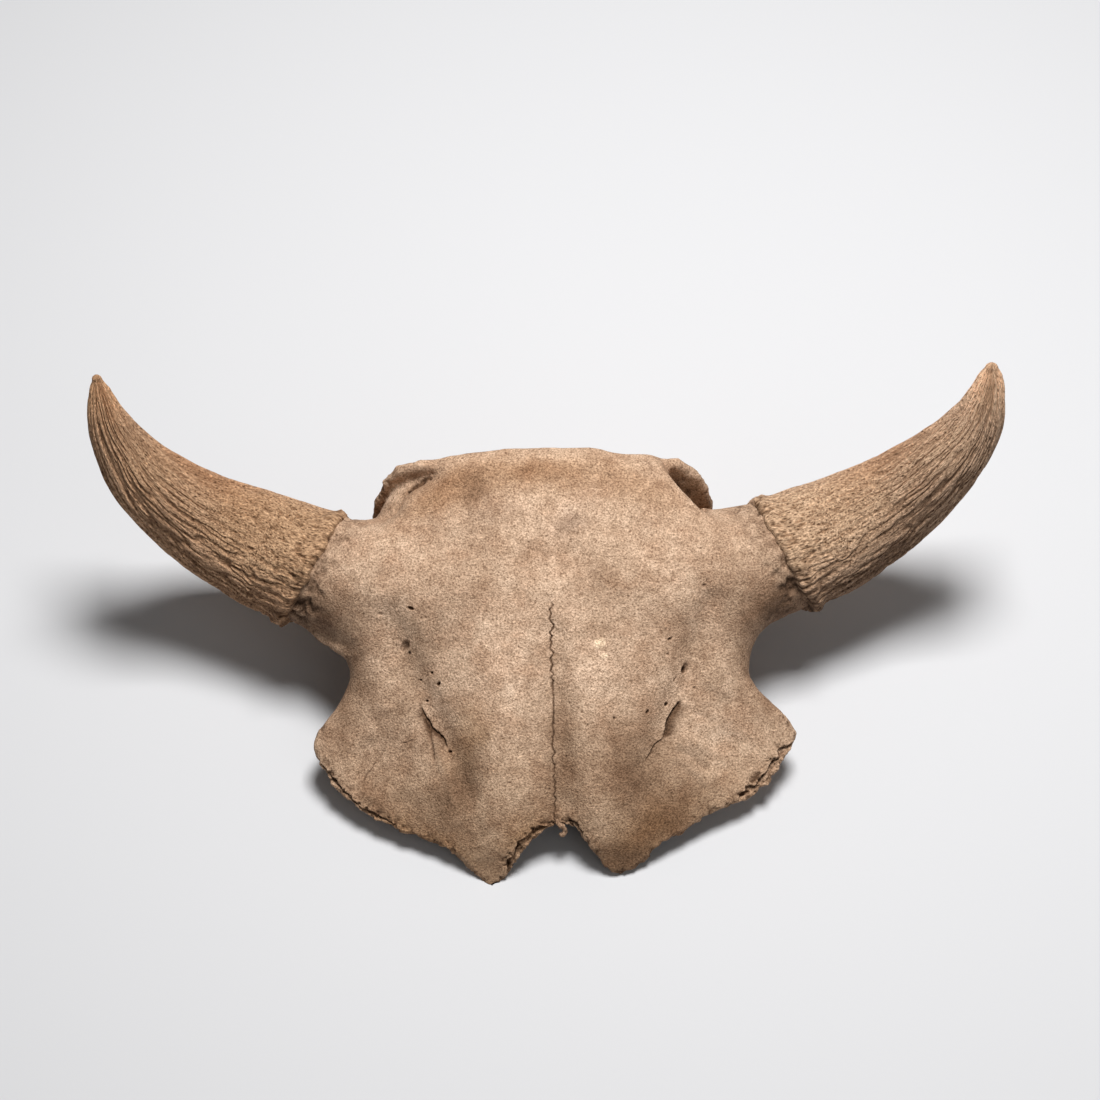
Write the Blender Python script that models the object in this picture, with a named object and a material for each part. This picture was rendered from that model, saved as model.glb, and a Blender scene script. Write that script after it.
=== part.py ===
"""Weathered partial skull of a bull bison: forehead, braincase and both bony horn cores, face missing.

The skull grew as one bone, so it is one solid. Its forms are described in the skull's own axes:
x to the skull's left and right, y back along the forehead from the nose to the crest, z up out of
the forehead. The crest's middle is the origin of those axes. The forms are blended in a distance
field, meshed, then laid down on the two nasal prongs and the two neck processes that it rests on.
"""

import math

import bpy
import numpy as np

# How the skull lies: the forehead slopes down to the front, on a floor at z = 0.
FOREHEAD_SLOPE = math.radians(26.5)
LIFT = 0.1622
CENTRE_X = 0.0019
CENTRE_Y = -0.1023

# Sampling of the field, and how many of the mesh's triangles are kept.
SPACING = 0.0034
BLOCK = 6
KEPT_SHARE = 0.100
FIELD_LOW = (-0.320, -0.312, -0.176)
FIELD_HIGH = (0.320, 0.078, 0.070)

# Heights of the forehead's outer surface: one row per y, one column per distance from the midline.
HEIGHT_X = (0.0, 0.030, 0.060, 0.090, 0.120, 0.150, 0.180)
HEIGHT_Y = (-0.300, -0.265, -0.235, -0.200, -0.165, -0.130, -0.090, -0.050, -0.015, 0.015)
HEIGHT_MM = (
    (-36, -34, -37, -43, -48, -51, -54),
    (-19, -15, -20, -30, -37, -43, -48),
    (-7, -3, -9, -22, -31, -38, -44),
    (1, 2, -4, -17, -27, -35, -41),
    (6, 5, 0, -11, -23, -33, -42),
    (9, 7, 2, -6, -17, -31, -48),
    (8, 6, 2, -3, -9, -20, -34),
    (2, 1, -2, -7, -12, -20, -30),
    (-6, -7, -11, -18, -28, -42, -56),
    (-20, -21, -25, -32, -42, -54, -68),
)

# The forehead's edge in plan, from the notch for the nasal bones round to the crest.
RIGHT_EDGE = (
    (0.000, -0.2560), (0.012, -0.2575), (0.022, -0.2705), (0.030, -0.2845), (0.038, -0.2925),
    (0.046, -0.2940), (0.0577, -0.284), (0.071, -0.273), (0.088, -0.2635), (0.102, -0.254),
    (0.131, -0.244), (0.1465, -0.234), (0.161, -0.214), (0.1675, -0.200), (0.157, -0.182),
    (0.1465, -0.172), (0.138, -0.160), (0.1365, -0.149), (0.142, -0.1345), (0.139, -0.110),
    (0.124, -0.070), (0.104, -0.044), (0.0995, -0.037), (0.092, -0.0285), (0.0835, -0.0165),
    (0.080, -0.009), (0.074, -0.006), (0.055, -0.005), (0.031, 0.001),
)
LEFT_EDGE = (
    (0.000, -0.2560), (-0.0095, -0.2605), (-0.022, -0.270), (-0.0286, -0.281),
    (-0.0366, -0.2910), (-0.0465, -0.2995), (-0.0553, -0.2900), (-0.067, -0.2776),
    (-0.0813, -0.2677), (-0.109, -0.2573), (-0.1287, -0.2465), (-0.144, -0.235),
    (-0.154, -0.225), (-0.161, -0.214), (-0.167, -0.2036), (-0.1657, -0.193), (-0.161, -0.183),
    (-0.1517, -0.1727), (-0.1455, -0.1626), (-0.1407, -0.151), (-0.1426, -0.141),
    (-0.147, -0.131), (-0.139, -0.110), (-0.126, -0.070), (-0.104, -0.042), (-0.099, -0.030),
    (-0.093, -0.0235), (-0.079, -0.016), (-0.071, -0.007), (-0.059, -0.001), (-0.031, 0.002),
)
ROOF_THICK = 0.026
RIM_THICK = 0.0095
THIN_FROM_Y = -0.158
THIN_TO_Y = -0.192

# Horn cores and the stalks that carry them: rows of x, y, z and radius. x is mirrored on the left.
RIGHT_HORN = (
    (0.160, -0.076, -0.052, 0.0430), (0.205, -0.059, -0.055, 0.0405),
    (0.246, -0.037, -0.040, 0.0334), (0.276, -0.014, -0.010, 0.0258),
    (0.293, 0.007, 0.009, 0.0192), (0.299, 0.024, 0.024, 0.0126), (0.2998, 0.0365, 0.036, 0.0070),
)
LEFT_HORN = (
    (0.160, -0.075, -0.052, 0.0430), (0.203, -0.057, -0.055, 0.0403),
    (0.243, -0.036, -0.042, 0.0337), (0.272, -0.013, -0.010, 0.0265),
    (0.287, 0.008, 0.008, 0.0198), (0.295, 0.028, 0.024, 0.0138), (0.2970, 0.047, 0.040, 0.0074),
)
STALK = ((0.070, -0.096, -0.042, 0.040), (0.120, -0.087, -0.048, 0.0445), (0.158, -0.076, -0.052, 0.0408))

# The plate at the back that the neck muscles held. It leans forward as it goes down from the crest.
PLATE_TOP = (0.0, -0.001, -0.012)
PLATE_LEAN = math.radians(24.8)
RIGHT_PLATE_EDGE = (
    (0.000, 0.005), (0.031, 0.008), (0.055, 0.016), (0.076, 0.017), (0.093, 0.018),
    (0.107, 0.034), (0.1145, 0.053), (0.1195, 0.078), (0.1195, 0.098), (0.114, 0.114),
    (0.096, 0.127), (0.070, 0.133), (0.040, 0.136), (0.000, 0.137),
)
LEFT_PLATE_EDGE = (
    (0.000, 0.005), (-0.031, 0.006), (-0.059, 0.009), (-0.087, 0.009), (-0.104, 0.016),
    (-0.1145, 0.033), (-0.1225, 0.057), (-0.126, 0.080), (-0.125, 0.099), (-0.118, 0.115),
    (-0.098, 0.127), (-0.071, 0.133), (-0.040, 0.136),
)
PLATE_RIM_HALF = 0.0045
PLATE_CORE_HALF = 0.0120

# On the right the temple hollow opens up behind the roof's edge; on the left bone bridges it.
RIGHT_SLOT = ((0.0890, -0.0140), (0.0980, -0.0250), (0.1065, -0.0390))
SLOT_HALF_WIDTH = 0.0042
LEFT_WEB = ((-0.082, -0.020, -0.038, 0.010), (-0.102, -0.032, -0.050, 0.011), (-0.112, -0.050, -0.066, 0.011))

# Underside forms, on one side of the midline, all mirrored.
BRAINCASE = ((0.0, -0.094, -0.066), (0.060, 0.074, 0.056))
BROW_WEDGE = ((0.078, -0.142, -0.048), (0.054, 0.036, 0.028))
CONDYLE = ((0.050, -0.040, -0.098, 0.015), (0.042, -0.033, -0.118, 0.020), (0.022, -0.040, -0.134, 0.015))
GLENOID = ((0.086, -0.094, -0.102), (0.034, 0.024, 0.011))
BULLA = ((0.050, -0.088, -0.116), (0.014, 0.018, 0.014))
MASTOID_CORD = ((0.106, -0.050, -0.090, 0.012), (0.116, -0.080, -0.096, 0.013), (0.113, -0.118, -0.094, 0.009))
NECK_PROCESS = ((0.074, -0.056, -0.118, 0.014), (0.074, -0.064, -0.138, 0.010), (0.072, -0.070, -0.1495, 0.0070))
SKULL_BASE = ((0.0, -0.056, -0.125, 0.018), (0.0, -0.108, -0.104, 0.015), (0.0, -0.152, -0.081, 0.013))
NAPE_RIDGE = ((0.0, -0.010, -0.042, 0.010), (0.0, -0.018, -0.066, 0.010), (0.0, -0.030, -0.096, 0.007))
TEMPLE_HOLLOW = ((0.089, -0.050, -0.076, 0.011), (0.088, -0.085, -0.083, 0.015), (0.096, -0.135, -0.086, 0.016))
FORAMEN = ((0.0, -0.020, -0.121, 0.0195), (0.0, -0.050, -0.110, 0.0185), (0.0, -0.078, -0.100, 0.0120))
ORBIT_WALL_X = (0.054, 0.060)
ORBIT_WALL_Y = (-0.150, -0.252)
ORBIT_WALL_Z = (-0.096, -0.040)
ORBIT_WALL_HALF = 0.0036

# How softly one form runs into the next.
WIDE_BLEND = 0.019
MIDDLE_BLEND = 0.012
CREST_BLEND = 0.011
TIGHT_BLEND = 0.005

BONE = (0.46, 0.33, 0.22, 1.0)


def soft_join(a, b, blend):
    """Union of two distance fields, rounded within the blend distance."""
    h = np.clip(0.5 + 0.5 * (b - a) / blend, 0.0, 1.0)
    return b + (a - b) * h - blend * h * (1.0 - h)


def soft_trim(a, b, blend):
    """Intersection of two distance fields, rounded within the blend distance."""
    return -soft_join(-a, -b, blend)


def smooth_path(rows, count):
    """Points read from the Catmull-Rom curve through the rows, ends included."""
    rows = np.asarray(rows, float)
    padded = np.vstack([2 * rows[0] - rows[1], rows, 2 * rows[-1] - rows[-2]])
    t = np.linspace(0.0, len(rows) - 1.0, count)
    i = np.minimum(t.astype(int), len(rows) - 2)
    f = (t - i)[:, None]
    p0, p1, p2, p3 = (padded[i + k] for k in range(4))
    return 0.5 * (
        2 * p1 + (p2 - p0) * f
        + (2 * p0 - 5 * p1 + 4 * p2 - p3) * f**2
        + (3 * p1 - p0 - 3 * p2 + p3) * f**3
    )


def tube(p, rows, count=20):
    """Distance to a round tube along the smooth path, its radius changing from row to row."""
    path = smooth_path(rows, count)
    nearest = np.full(len(p), np.inf)
    for a, b in zip(path[:-1], path[1:]):
        along = b[:3] - a[:3]
        t = np.clip((p - a[:3]) @ along / (along @ along), 0.0, 1.0)
        gap = np.linalg.norm(p - a[:3] - t[:, None] * along, axis=1)
        nearest = np.minimum(nearest, gap - a[3] - t * (b[3] - a[3]))
    return nearest


def ellipsoid(p, form):
    """Distance, close to the surface, to an ellipsoid given as its centre and radii."""
    centre, radii = (np.array(v) for v in form)
    q = (p - centre) / radii
    size = np.linalg.norm(q, axis=1)
    slope = np.maximum(np.linalg.norm(q / radii, axis=1), 1e-9)
    return size * (size - 1.0) / slope


def outline_distance(x, y, outline):
    """Signed distance in a plane to a closed outline, negative inside."""
    corners = np.asarray(outline, float)
    nearest = np.full(len(x), np.inf)
    inside = np.zeros(len(x), bool)
    for a, b in zip(corners, np.roll(corners, -1, axis=0)):
        ex, ey = b - a
        t = np.clip(((x - a[0]) * ex + (y - a[1]) * ey) / (ex * ex + ey * ey), 0.0, 1.0)
        nearest = np.minimum(nearest, np.hypot(x - a[0] - t * ex, y - a[1] - t * ey))
        crosses = (a[1] > y) != (b[1] > y)
        if ey:
            inside ^= crosses & (x < a[0] + (y - a[1]) * ex / ey)
    return np.where(inside, -nearest, nearest)


def cubic_weights(value, knots):
    """Knot index and the four Catmull-Rom weights with which each value reads a row of knots."""
    knots = np.asarray(knots)
    i = np.clip(np.searchsorted(knots, value) - 1, 0, len(knots) - 2)
    f = np.clip((value - knots[i]) / (knots[i + 1] - knots[i]), 0.0, 1.0)
    weights = (
        0.5 * (-f + 2 * f**2 - f**3),
        0.5 * (2 - 5 * f**2 + 3 * f**3),
        0.5 * (f + 4 * f**2 - 3 * f**3),
        0.5 * (f**3 - f**2),
    )
    return i, weights


def forehead_height(x, y):
    """Height of the forehead's outer surface, read smoothly from the table of heights."""
    table = np.array(HEIGHT_MM) / 1000.0
    # One more column on the midline's far side mirrors the first, so the dome is level there.
    table = np.pad(np.hstack([table[:, 1:2], table]), ((1, 1), (0, 1)), mode="edge")
    i, wx = cubic_weights(np.abs(x), HEIGHT_X)
    j, wy = cubic_weights(y, HEIGHT_Y)
    return sum(wy[b] * wx[a] * table[j + b, i + a] for a in range(4) for b in range(4))


def smooth_step(value, low, high):
    t = np.clip((value - low) / (high - low), 0.0, 1.0)
    return t * t * (3 - 2 * t)


def forehead(p):
    """The frontal bones: a thick dome behind the eyes, thin brow plates and nasal prongs in front."""
    x, y, z = p.T
    top = forehead_height(x, y)
    rear = smooth_step(y, THIN_TO_Y, THIN_FROM_Y)
    thick = RIM_THICK + (ROOF_THICK - RIM_THICK) * rear
    edge = outline_distance(x, y, RIGHT_EDGE + LEFT_EDGE[:0:-1])
    lean = 0.93
    slab = soft_trim((z - top) * lean, (top - thick - z) * lean, 0.003)
    return soft_trim(slab, edge, 0.005 + 0.009 * rear)


def neck_plate(p):
    """The plate for the neck muscles, thick in the middle, with a thin free rim."""
    rear, up = p[:, 1] - PLATE_TOP[1], p[:, 2] - PLATE_TOP[2]
    down = -rear * math.sin(PLATE_LEAN) - up * math.cos(PLATE_LEAN)
    out = rear * math.cos(PLATE_LEAN) - up * math.sin(PLATE_LEAN)
    edge = outline_distance(p[:, 0], down, RIGHT_PLATE_EDGE + LEFT_PLATE_EDGE[:0:-1])
    half = PLATE_RIM_HALF + (PLATE_CORE_HALF - PLATE_RIM_HALF) * smooth_step(-edge, 0.002, 0.060)
    return soft_trim(np.abs(out) - half, edge, 0.006)


def orbit_wall(p, side):
    """What is left of the inner wall of the eye socket, hanging under the brow plate."""
    y, z = p[:, 1], p[:, 2]
    t = np.clip((y - ORBIT_WALL_Y[0]) / (ORBIT_WALL_Y[1] - ORBIT_WALL_Y[0]), -0.3, 1.0)
    middle = ORBIT_WALL_X[0] + t * (ORBIT_WALL_X[1] - ORBIT_WALL_X[0])
    low = ORBIT_WALL_Z[0] + t * (ORBIT_WALL_Z[1] - ORBIT_WALL_Z[0])
    across = np.abs(side - middle) - ORBIT_WALL_HALF
    height = np.maximum(z - forehead_height(p[:, 0], y) + 0.004, (low - z) * 0.85)
    length = np.maximum(ORBIT_WALL_Y[1] - y, y - ORBIT_WALL_Y[0] - 0.020)
    return soft_trim(across, np.maximum(height, length), 0.004)


def slot(p):
    """Narrow slot cut down behind the roof's right edge, leaning forward with the neck plate."""
    level = p[:, 1] - (p[:, 2] + 0.020) * math.tan(PLATE_LEAN)
    flat = np.column_stack([p[:, 0], level])
    distance = np.full(len(p), np.inf)
    for a, b in zip(np.array(RIGHT_SLOT[:-1]), np.array(RIGHT_SLOT[1:])):
        t = np.clip((flat - a) @ (b - a) / ((b - a) @ (b - a)), 0.0, 1.0)
        distance = np.minimum(distance, np.linalg.norm(flat - a - t[:, None] * (b - a), axis=1))
    return np.maximum(distance - SLOT_HALF_WIDTH, -0.075 - p[:, 2])


def skull_field(p):
    """Signed distance to the whole skull, negative inside the bone."""
    q = p.copy()
    q[:, 0] = np.abs(p[:, 0])
    bone = forehead(p)
    bone = soft_join(bone, ellipsoid(q, BROW_WEDGE), MIDDLE_BLEND)
    bone = soft_join(bone, tube(q, STALK, 8), WIDE_BLEND)
    bone = soft_join(bone, ellipsoid(q, BRAINCASE), MIDDLE_BLEND)
    base = soft_join(tube(q, SKULL_BASE, 8), ellipsoid(q, BULLA), TIGHT_BLEND)
    base = soft_join(base, ellipsoid(q, GLENOID), MIDDLE_BLEND)
    base = soft_join(base, tube(q, MASTOID_CORD, 8), MIDDLE_BLEND)
    bone = soft_join(bone, base, MIDDLE_BLEND)
    bone = soft_trim(bone, -tube(q, TEMPLE_HOLLOW, 8), TIGHT_BLEND)
    bone = soft_join(bone, orbit_wall(p, q[:, 0]), TIGHT_BLEND)
    back = soft_join(neck_plate(p), tube(q, CONDYLE, 8), TIGHT_BLEND)
    back = soft_join(back, tube(q, NECK_PROCESS, 8), MIDDLE_BLEND)
    back = soft_join(back, tube(p, NAPE_RIDGE, 8), MIDDLE_BLEND)
    blend = CREST_BLEND + (TIGHT_BLEND - CREST_BLEND) * smooth_step(q[:, 0], 0.066, 0.084)
    bone = soft_join(bone, back, blend)
    bone = soft_join(bone, tube(p, LEFT_WEB, 8), TIGHT_BLEND)
    bone = soft_trim(bone, -slot(p), 0.002)
    bone = soft_trim(bone, -tube(q, FORAMEN, 8), 0.004)
    for rows, on_side in ((RIGHT_HORN, p[:, 0] >= 0), (LEFT_HORN, p[:, 0] < 0)):
        bone[on_side] = soft_join(bone[on_side], tube(q[on_side], rows, 28), TIGHT_BLEND)
    return bone


def sample_field():
    """The field's values on a regular grid. Blocks well clear of the surface keep one value each."""
    counts = [math.ceil((b - a) / SPACING / BLOCK) for a, b in zip(FIELD_LOW, FIELD_HIGH)]
    block = np.stack(np.meshgrid(*map(np.arange, counts), indexing="ij"), axis=-1).reshape(-1, 3)
    middle = np.array(FIELD_LOW) + (block + 0.5) * BLOCK * SPACING - 0.5 * SPACING
    far = skull_field(middle)
    values = np.zeros([n * BLOCK for n in counts])
    inner = np.stack(np.meshgrid(*[np.arange(BLOCK)] * 3, indexing="ij"), axis=-1).reshape(-1, 3)
    near = np.abs(far) < 1.3 * BLOCK * SPACING
    for chosen, exact in ((block[near], True), (block[~near], False)):
        cell = (chosen[:, None] * BLOCK + inner).reshape(-1, 3)
        if exact:
            found = skull_field(np.array(FIELD_LOW) + cell * SPACING)
        else:
            found = np.repeat(far[~near], len(inner))
        values[tuple(cell.T)] = found
    return values


def fill_pinches(values):
    """Fills one corner of each grid face whose filled corners touch only across its diagonal,
    because the surface would pinch itself there."""
    found = True
    while found:
        found = False
        for axis in range(3):
            low, high = slice(0, -1), slice(1, None)
            corners = []
            for u, v in ((low, low), (high, low), (low, high), (high, high)):
                face = [u, v]
                face.insert(axis, slice(None))
                corners.append(values[tuple(face)])
            a, b, c, d = corners
            one = (a < 0) & (d < 0) & (b >= 0) & (c >= 0)
            other = (a >= 0) & (d >= 0) & (b < 0) & (c < 0)
            b[one] = a[other] = -0.05 * SPACING
            found |= bool(one.any() or other.any())
    return values


def surface_of(values):
    """Closed surface where the sampled field is zero: one point in each cell that the surface
    crosses, at the mean of its edge crossings, and one quad round each crossed grid edge."""
    inside = values < 0
    cells = tuple(n - 1 for n in values.shape)
    corner = [tuple(slice(o, o + n) for o, n in zip(offset, cells)) for offset in np.ndindex(2, 2, 2)]
    filled = sum(inside[c].astype(int) for c in corner)
    mixed = np.argwhere((filled > 0) & (filled < 8))
    total, hits = np.zeros((len(mixed), 3)), np.zeros(len(mixed))
    for axis in range(3):
        step = np.eye(3, dtype=int)[axis]
        for offset in np.ndindex(2, 2, 2):
            if offset[axis]:
                continue
            start = mixed + np.array(offset)
            a, b = values[tuple(start.T)], values[tuple((start + step).T)]
            crossed = (a < 0) != (b < 0)
            t = np.where(crossed, a / np.where(crossed, a - b, 1.0), 0.0)
            total += np.where(crossed[:, None], start + t[:, None] * step, 0.0)
            hits += crossed
    points = np.array(FIELD_LOW) + total / hits[:, None] * SPACING
    index = np.full(cells, -1)
    index[tuple(mixed.T)] = np.arange(len(mixed))
    quads = []
    for axis in range(3):
        u, v = (np.eye(3, dtype=int)[(axis + k) % 3] for k in (1, 2))
        ends = [slice(1, -1)] * 3
        ends[axis] = slice(0, -1)
        beyond = list(ends)
        beyond[axis] = slice(1, None)
        now, after = inside[tuple(ends)], inside[tuple(beyond)]
        lowest = np.array([0 if k == axis else 1 for k in range(3)])
        for leaving, order in ((True, (0, 1, 2, 3)), (False, (3, 2, 1, 0))):
            edge = np.argwhere((now != after) & (now == leaving)) + lowest
            ring = [edge - u - v, edge - v, edge, edge - u]
            quads.append(np.stack([index[tuple(ring[k].T)] for k in order], axis=1))
    return points, np.vstack(quads)


def to_floor(points):
    """Skull axes to the row's axes: the forehead tilted to its slope, resting on z = 0."""
    x, y, z = points.T
    c, s = math.cos(FOREHEAD_SLOPE), math.sin(FOREHEAD_SLOPE)
    return np.column_stack([x - CENTRE_X, y * c - z * s - CENTRE_Y, y * s + z * c + LIFT])


def bone_material():
    """Dry, matt, sandy brown bone."""
    material = bpy.data.materials.new("bone")
    material.use_nodes = True
    shader = material.node_tree.nodes["Principled BSDF"]
    shader.inputs["Base Color"].default_value = BONE
    shader.inputs["Roughness"].default_value = 0.85
    shader.inputs["Metallic"].default_value = 0.0
    return material


def floor_cutter():
    """A block whose top is the floor. It wears the four resting points flat."""
    bpy.ops.mesh.primitive_cube_add(size=1.0, location=(0.0, 0.0, -0.5))
    cutter = bpy.context.object
    cutter.name = "floor_cutter"
    cutter.hide_render = True
    cutter.display_type = "WIRE"
    return cutter


def make_skull():
    """The one solid, thinned to a light faceted mesh and worn flat where it rests."""
    points, quads = surface_of(fill_pinches(sample_field()))
    mesh = bpy.data.meshes.new("skull")
    mesh.from_pydata(to_floor(points).tolist(), [], quads.tolist())
    mesh.validate()
    skull = bpy.data.objects.new("skull", mesh)
    bpy.context.scene.collection.objects.link(skull)
    skull.data.materials.append(bone_material())
    thin = skull.modifiers.new("thin", "DECIMATE")
    thin.ratio = KEPT_SHARE
    wear = skull.modifiers.new("wear", "BOOLEAN")
    wear.operation = "DIFFERENCE"
    wear.solver = "EXACT"
    wear.object = floor_cutter()
    skull.data.shade_smooth()
    return skull


def main():
    for thing in list(bpy.data.objects):
        bpy.data.objects.remove(thing)
    make_skull()


main()
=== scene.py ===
"""Looks of a weathered partial skull of a bull bison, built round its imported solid.

The skull is one bone, shown as four pieces: the cranium, the two bony horn cores that meet it at
the burrs, and a chip that hangs into the notch at the seam's end. The cranium is the zero surface
of a distance field sampled with numpy, refined where the picture shows it close and pushed in and
out along its normals for pits, cracks and the seam. Each horn core is a profile carried along a
path. The skull's own axes are x from side to side, y back along the forehead from the nose to the
crest, and z up out of the forehead.
"""

import logging
import math
from dataclasses import dataclass, field
from enum import Enum

import bmesh
import bpy
import numpy as np
from mathutils import Matrix


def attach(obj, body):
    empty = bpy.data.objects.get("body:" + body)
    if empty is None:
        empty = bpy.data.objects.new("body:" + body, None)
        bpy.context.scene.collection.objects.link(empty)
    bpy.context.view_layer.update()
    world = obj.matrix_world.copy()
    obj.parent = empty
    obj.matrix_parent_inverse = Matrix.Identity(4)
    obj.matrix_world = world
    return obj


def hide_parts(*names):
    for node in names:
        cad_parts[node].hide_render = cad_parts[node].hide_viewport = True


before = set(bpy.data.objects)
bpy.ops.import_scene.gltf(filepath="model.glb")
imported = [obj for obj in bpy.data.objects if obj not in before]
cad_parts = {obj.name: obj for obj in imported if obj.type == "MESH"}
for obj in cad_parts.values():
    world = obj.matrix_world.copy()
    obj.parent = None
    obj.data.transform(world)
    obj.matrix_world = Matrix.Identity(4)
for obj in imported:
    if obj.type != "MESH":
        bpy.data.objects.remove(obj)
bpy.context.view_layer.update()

LOG = logging.getLogger("skull")
Array = np.ndarray
Rows = tuple[tuple[float, ...], ...]
Place = tuple[float, float, float]
Colour = tuple[float, float, float]
Span = tuple[float, float]
Object = bpy.types.Object
Mesh = bpy.types.Mesh
Tree = bpy.types.NodeTree
Socket = bpy.types.NodeSocket
MM = 0.001
BODY = "root"
NODE = "skull"


# How the skull lies


@dataclass(frozen=True)
class Lie:
    """The forehead's slope on the floor, and where the skull's own origin is then."""

    slope: float = math.radians(26.5)
    lift: float = 0.1622
    centre_x: float = 0.0019
    centre_y: float = -0.1023

    def turn(self, vectors: Array) -> Array:
        """Vectors in the skull's axes turned into the row's axes: a rotation about X."""
        c, s = math.cos(self.slope), math.sin(self.slope)
        return vectors @ np.array([[1, 0, 0], [0, c, s], [0, -s, c]])

    def to_floor(self, points: Array) -> Array:
        """Points in the skull's axes moved into the row's axes."""
        return self.turn(points) + np.array([-self.centre_x, -self.centre_y, self.lift])


LIE = Lie()


# Blends, paths and noise


def soft_join(a: Array, b: Array, blend: float | Array) -> Array:
    """Union of two distance fields: the smaller one, with a quarter of the blend added where equal.

    Args:
        a: One field's values.
        b: The other field's values.
        blend: Distance over which the two run into each other, in metres.

    Returns:
        The joined field's values.
    """
    h = np.clip(0.5 + 0.5 * (b - a) / blend, 0.0, 1.0)
    return b + (a - b) * h - blend * h * (1.0 - h)


def soft_trim(a: Array, b: Array, blend: float | Array) -> Array:
    """Intersection of two distance fields, rounded in the same way as the union."""
    return -soft_join(-a, -b, blend)


def smooth_step(value: Array, low: float, high: float) -> Array:
    """Rises from 0 at low to 1 at high as 3t² - 2t³. High may be below low."""
    t = np.clip((value - low) / (high - low), 0.0, 1.0)
    return t * t * (3 - 2 * t)


def smooth_path(rows: Rows, count: int) -> Array:
    """Points read from the Catmull-Rom curve through the rows, ends included.

    Args:
        rows: Points of any number of columns.
        count: Number of points wanted, even in the curve's own parameter.

    Returns:
        An array of count rows.
    """
    given = np.asarray(rows, float)
    padded = np.vstack([2 * given[0] - given[1], given, 2 * given[-1] - given[-2]])
    t = np.linspace(0.0, len(given) - 1.0, count)
    i = np.minimum(t.astype(int), len(given) - 2)
    f = (t - i)[:, None]
    p0, p1, p2, p3 = (padded[i + k] for k in range(4))
    return 0.5 * (
        2 * p1 + (p2 - p0) * f
        + (2 * p0 - 5 * p1 + 4 * p2 - p3) * f**2
        + (3 * p1 - p0 - 3 * p2 + p3) * f**3
    )


def cubic_weights(value: Array, knots: tuple[float, ...]) -> tuple[Array, tuple[Array, ...]]:
    """Knot index and the four Catmull-Rom weights with which each value reads a row of knots."""
    places = np.asarray(knots)
    i = np.clip(np.searchsorted(places, value) - 1, 0, len(places) - 2)
    f = np.clip((value - places[i]) / (places[i + 1] - places[i]), 0.0, 1.0)
    weights = (
        0.5 * (-f + 2 * f**2 - f**3),
        0.5 * (2 - 5 * f**2 + 3 * f**3),
        0.5 * (f + 4 * f**2 - 3 * f**3),
        0.5 * (f**3 - f**2),
    )
    return i, weights


def tube(p: Array, rows: Rows, count: int = 8) -> Array:
    """Distance to a round tube along the smooth path through rows of x, y, z and radius."""
    path = smooth_path(rows, count)
    nearest = np.full(len(p), np.inf)
    for a, b in zip(path[:-1], path[1:]):
        along = b[:3] - a[:3]
        t = np.clip((p - a[:3]) @ along / (along @ along), 0.0, 1.0)
        gap = np.linalg.norm(p - a[:3] - t[:, None] * along, axis=1)
        nearest = np.minimum(nearest, gap - a[3] - t * (b[3] - a[3]))
    return nearest


def ellipsoid(p: Array, form: Rows) -> Array:
    """Distance, close to the surface, to an ellipsoid given as its centre and radii."""
    centre, radii = (np.array(v) for v in form)
    q = (p - centre) / radii
    size = np.linalg.norm(q, axis=1)
    slope = np.maximum(np.linalg.norm(q / radii, axis=1), 1e-9)
    return size * (size - 1.0) / slope


def outline_distance(x: Array, y: Array, outline: Rows) -> Array:
    """Signed distance in a plane to a closed outline, negative inside by the crossing rule."""
    corners = np.asarray(outline, float)
    nearest = np.full(len(x), np.inf)
    inside = np.zeros(len(x), bool)
    for a, b in zip(corners, np.roll(corners, -1, axis=0)):
        ex, ey = b - a
        t = np.clip(((x - a[0]) * ex + (y - a[1]) * ey) / (ex * ex + ey * ey), 0.0, 1.0)
        nearest = np.minimum(nearest, np.hypot(x - a[0] - t * ex, y - a[1] - t * ey))
        crosses = (a[1] > y) != (b[1] > y)
        if ey:
            inside ^= crosses & (x < a[0] + (y - a[1]) * ex / ey)
    return np.where(inside, -nearest, nearest)


def line_distance(x: Array, y: Array, line: Rows) -> tuple[Array, Array]:
    """Nearest place on an open line in plan.

    Args:
        x: Points' x.
        y: Points' y.
        line: Corners of the line, in millimetres.

    Returns:
        The distance, positive on the left of the way along the line, and the share of the
        line's length at the nearest place.
    """
    corners = np.asarray(line, float) * MM
    lengths = np.linalg.norm(np.diff(corners, axis=0), axis=1)
    starts = np.concatenate([[0.0], np.cumsum(lengths)])
    best = np.full(len(x), np.inf)
    signed, share = np.zeros(len(x)), np.zeros(len(x))
    for i, (a, b) in enumerate(zip(corners[:-1], corners[1:])):
        ex, ey = b - a
        t = np.clip(((x - a[0]) * ex + (y - a[1]) * ey) / lengths[i] ** 2, 0.0, 1.0)
        gap = np.hypot(x - a[0] - t * ex, y - a[1] - t * ey)
        left = ex * (y - a[1]) - ey * (x - a[0]) >= 0
        closer = gap < best
        best = np.where(closer, gap, best)
        signed = np.where(closer, np.where(left, gap, -gap), signed)
        share = np.where(closer, (starts[i] + t * lengths[i]) / starts[-1], share)
    return signed, share


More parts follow.
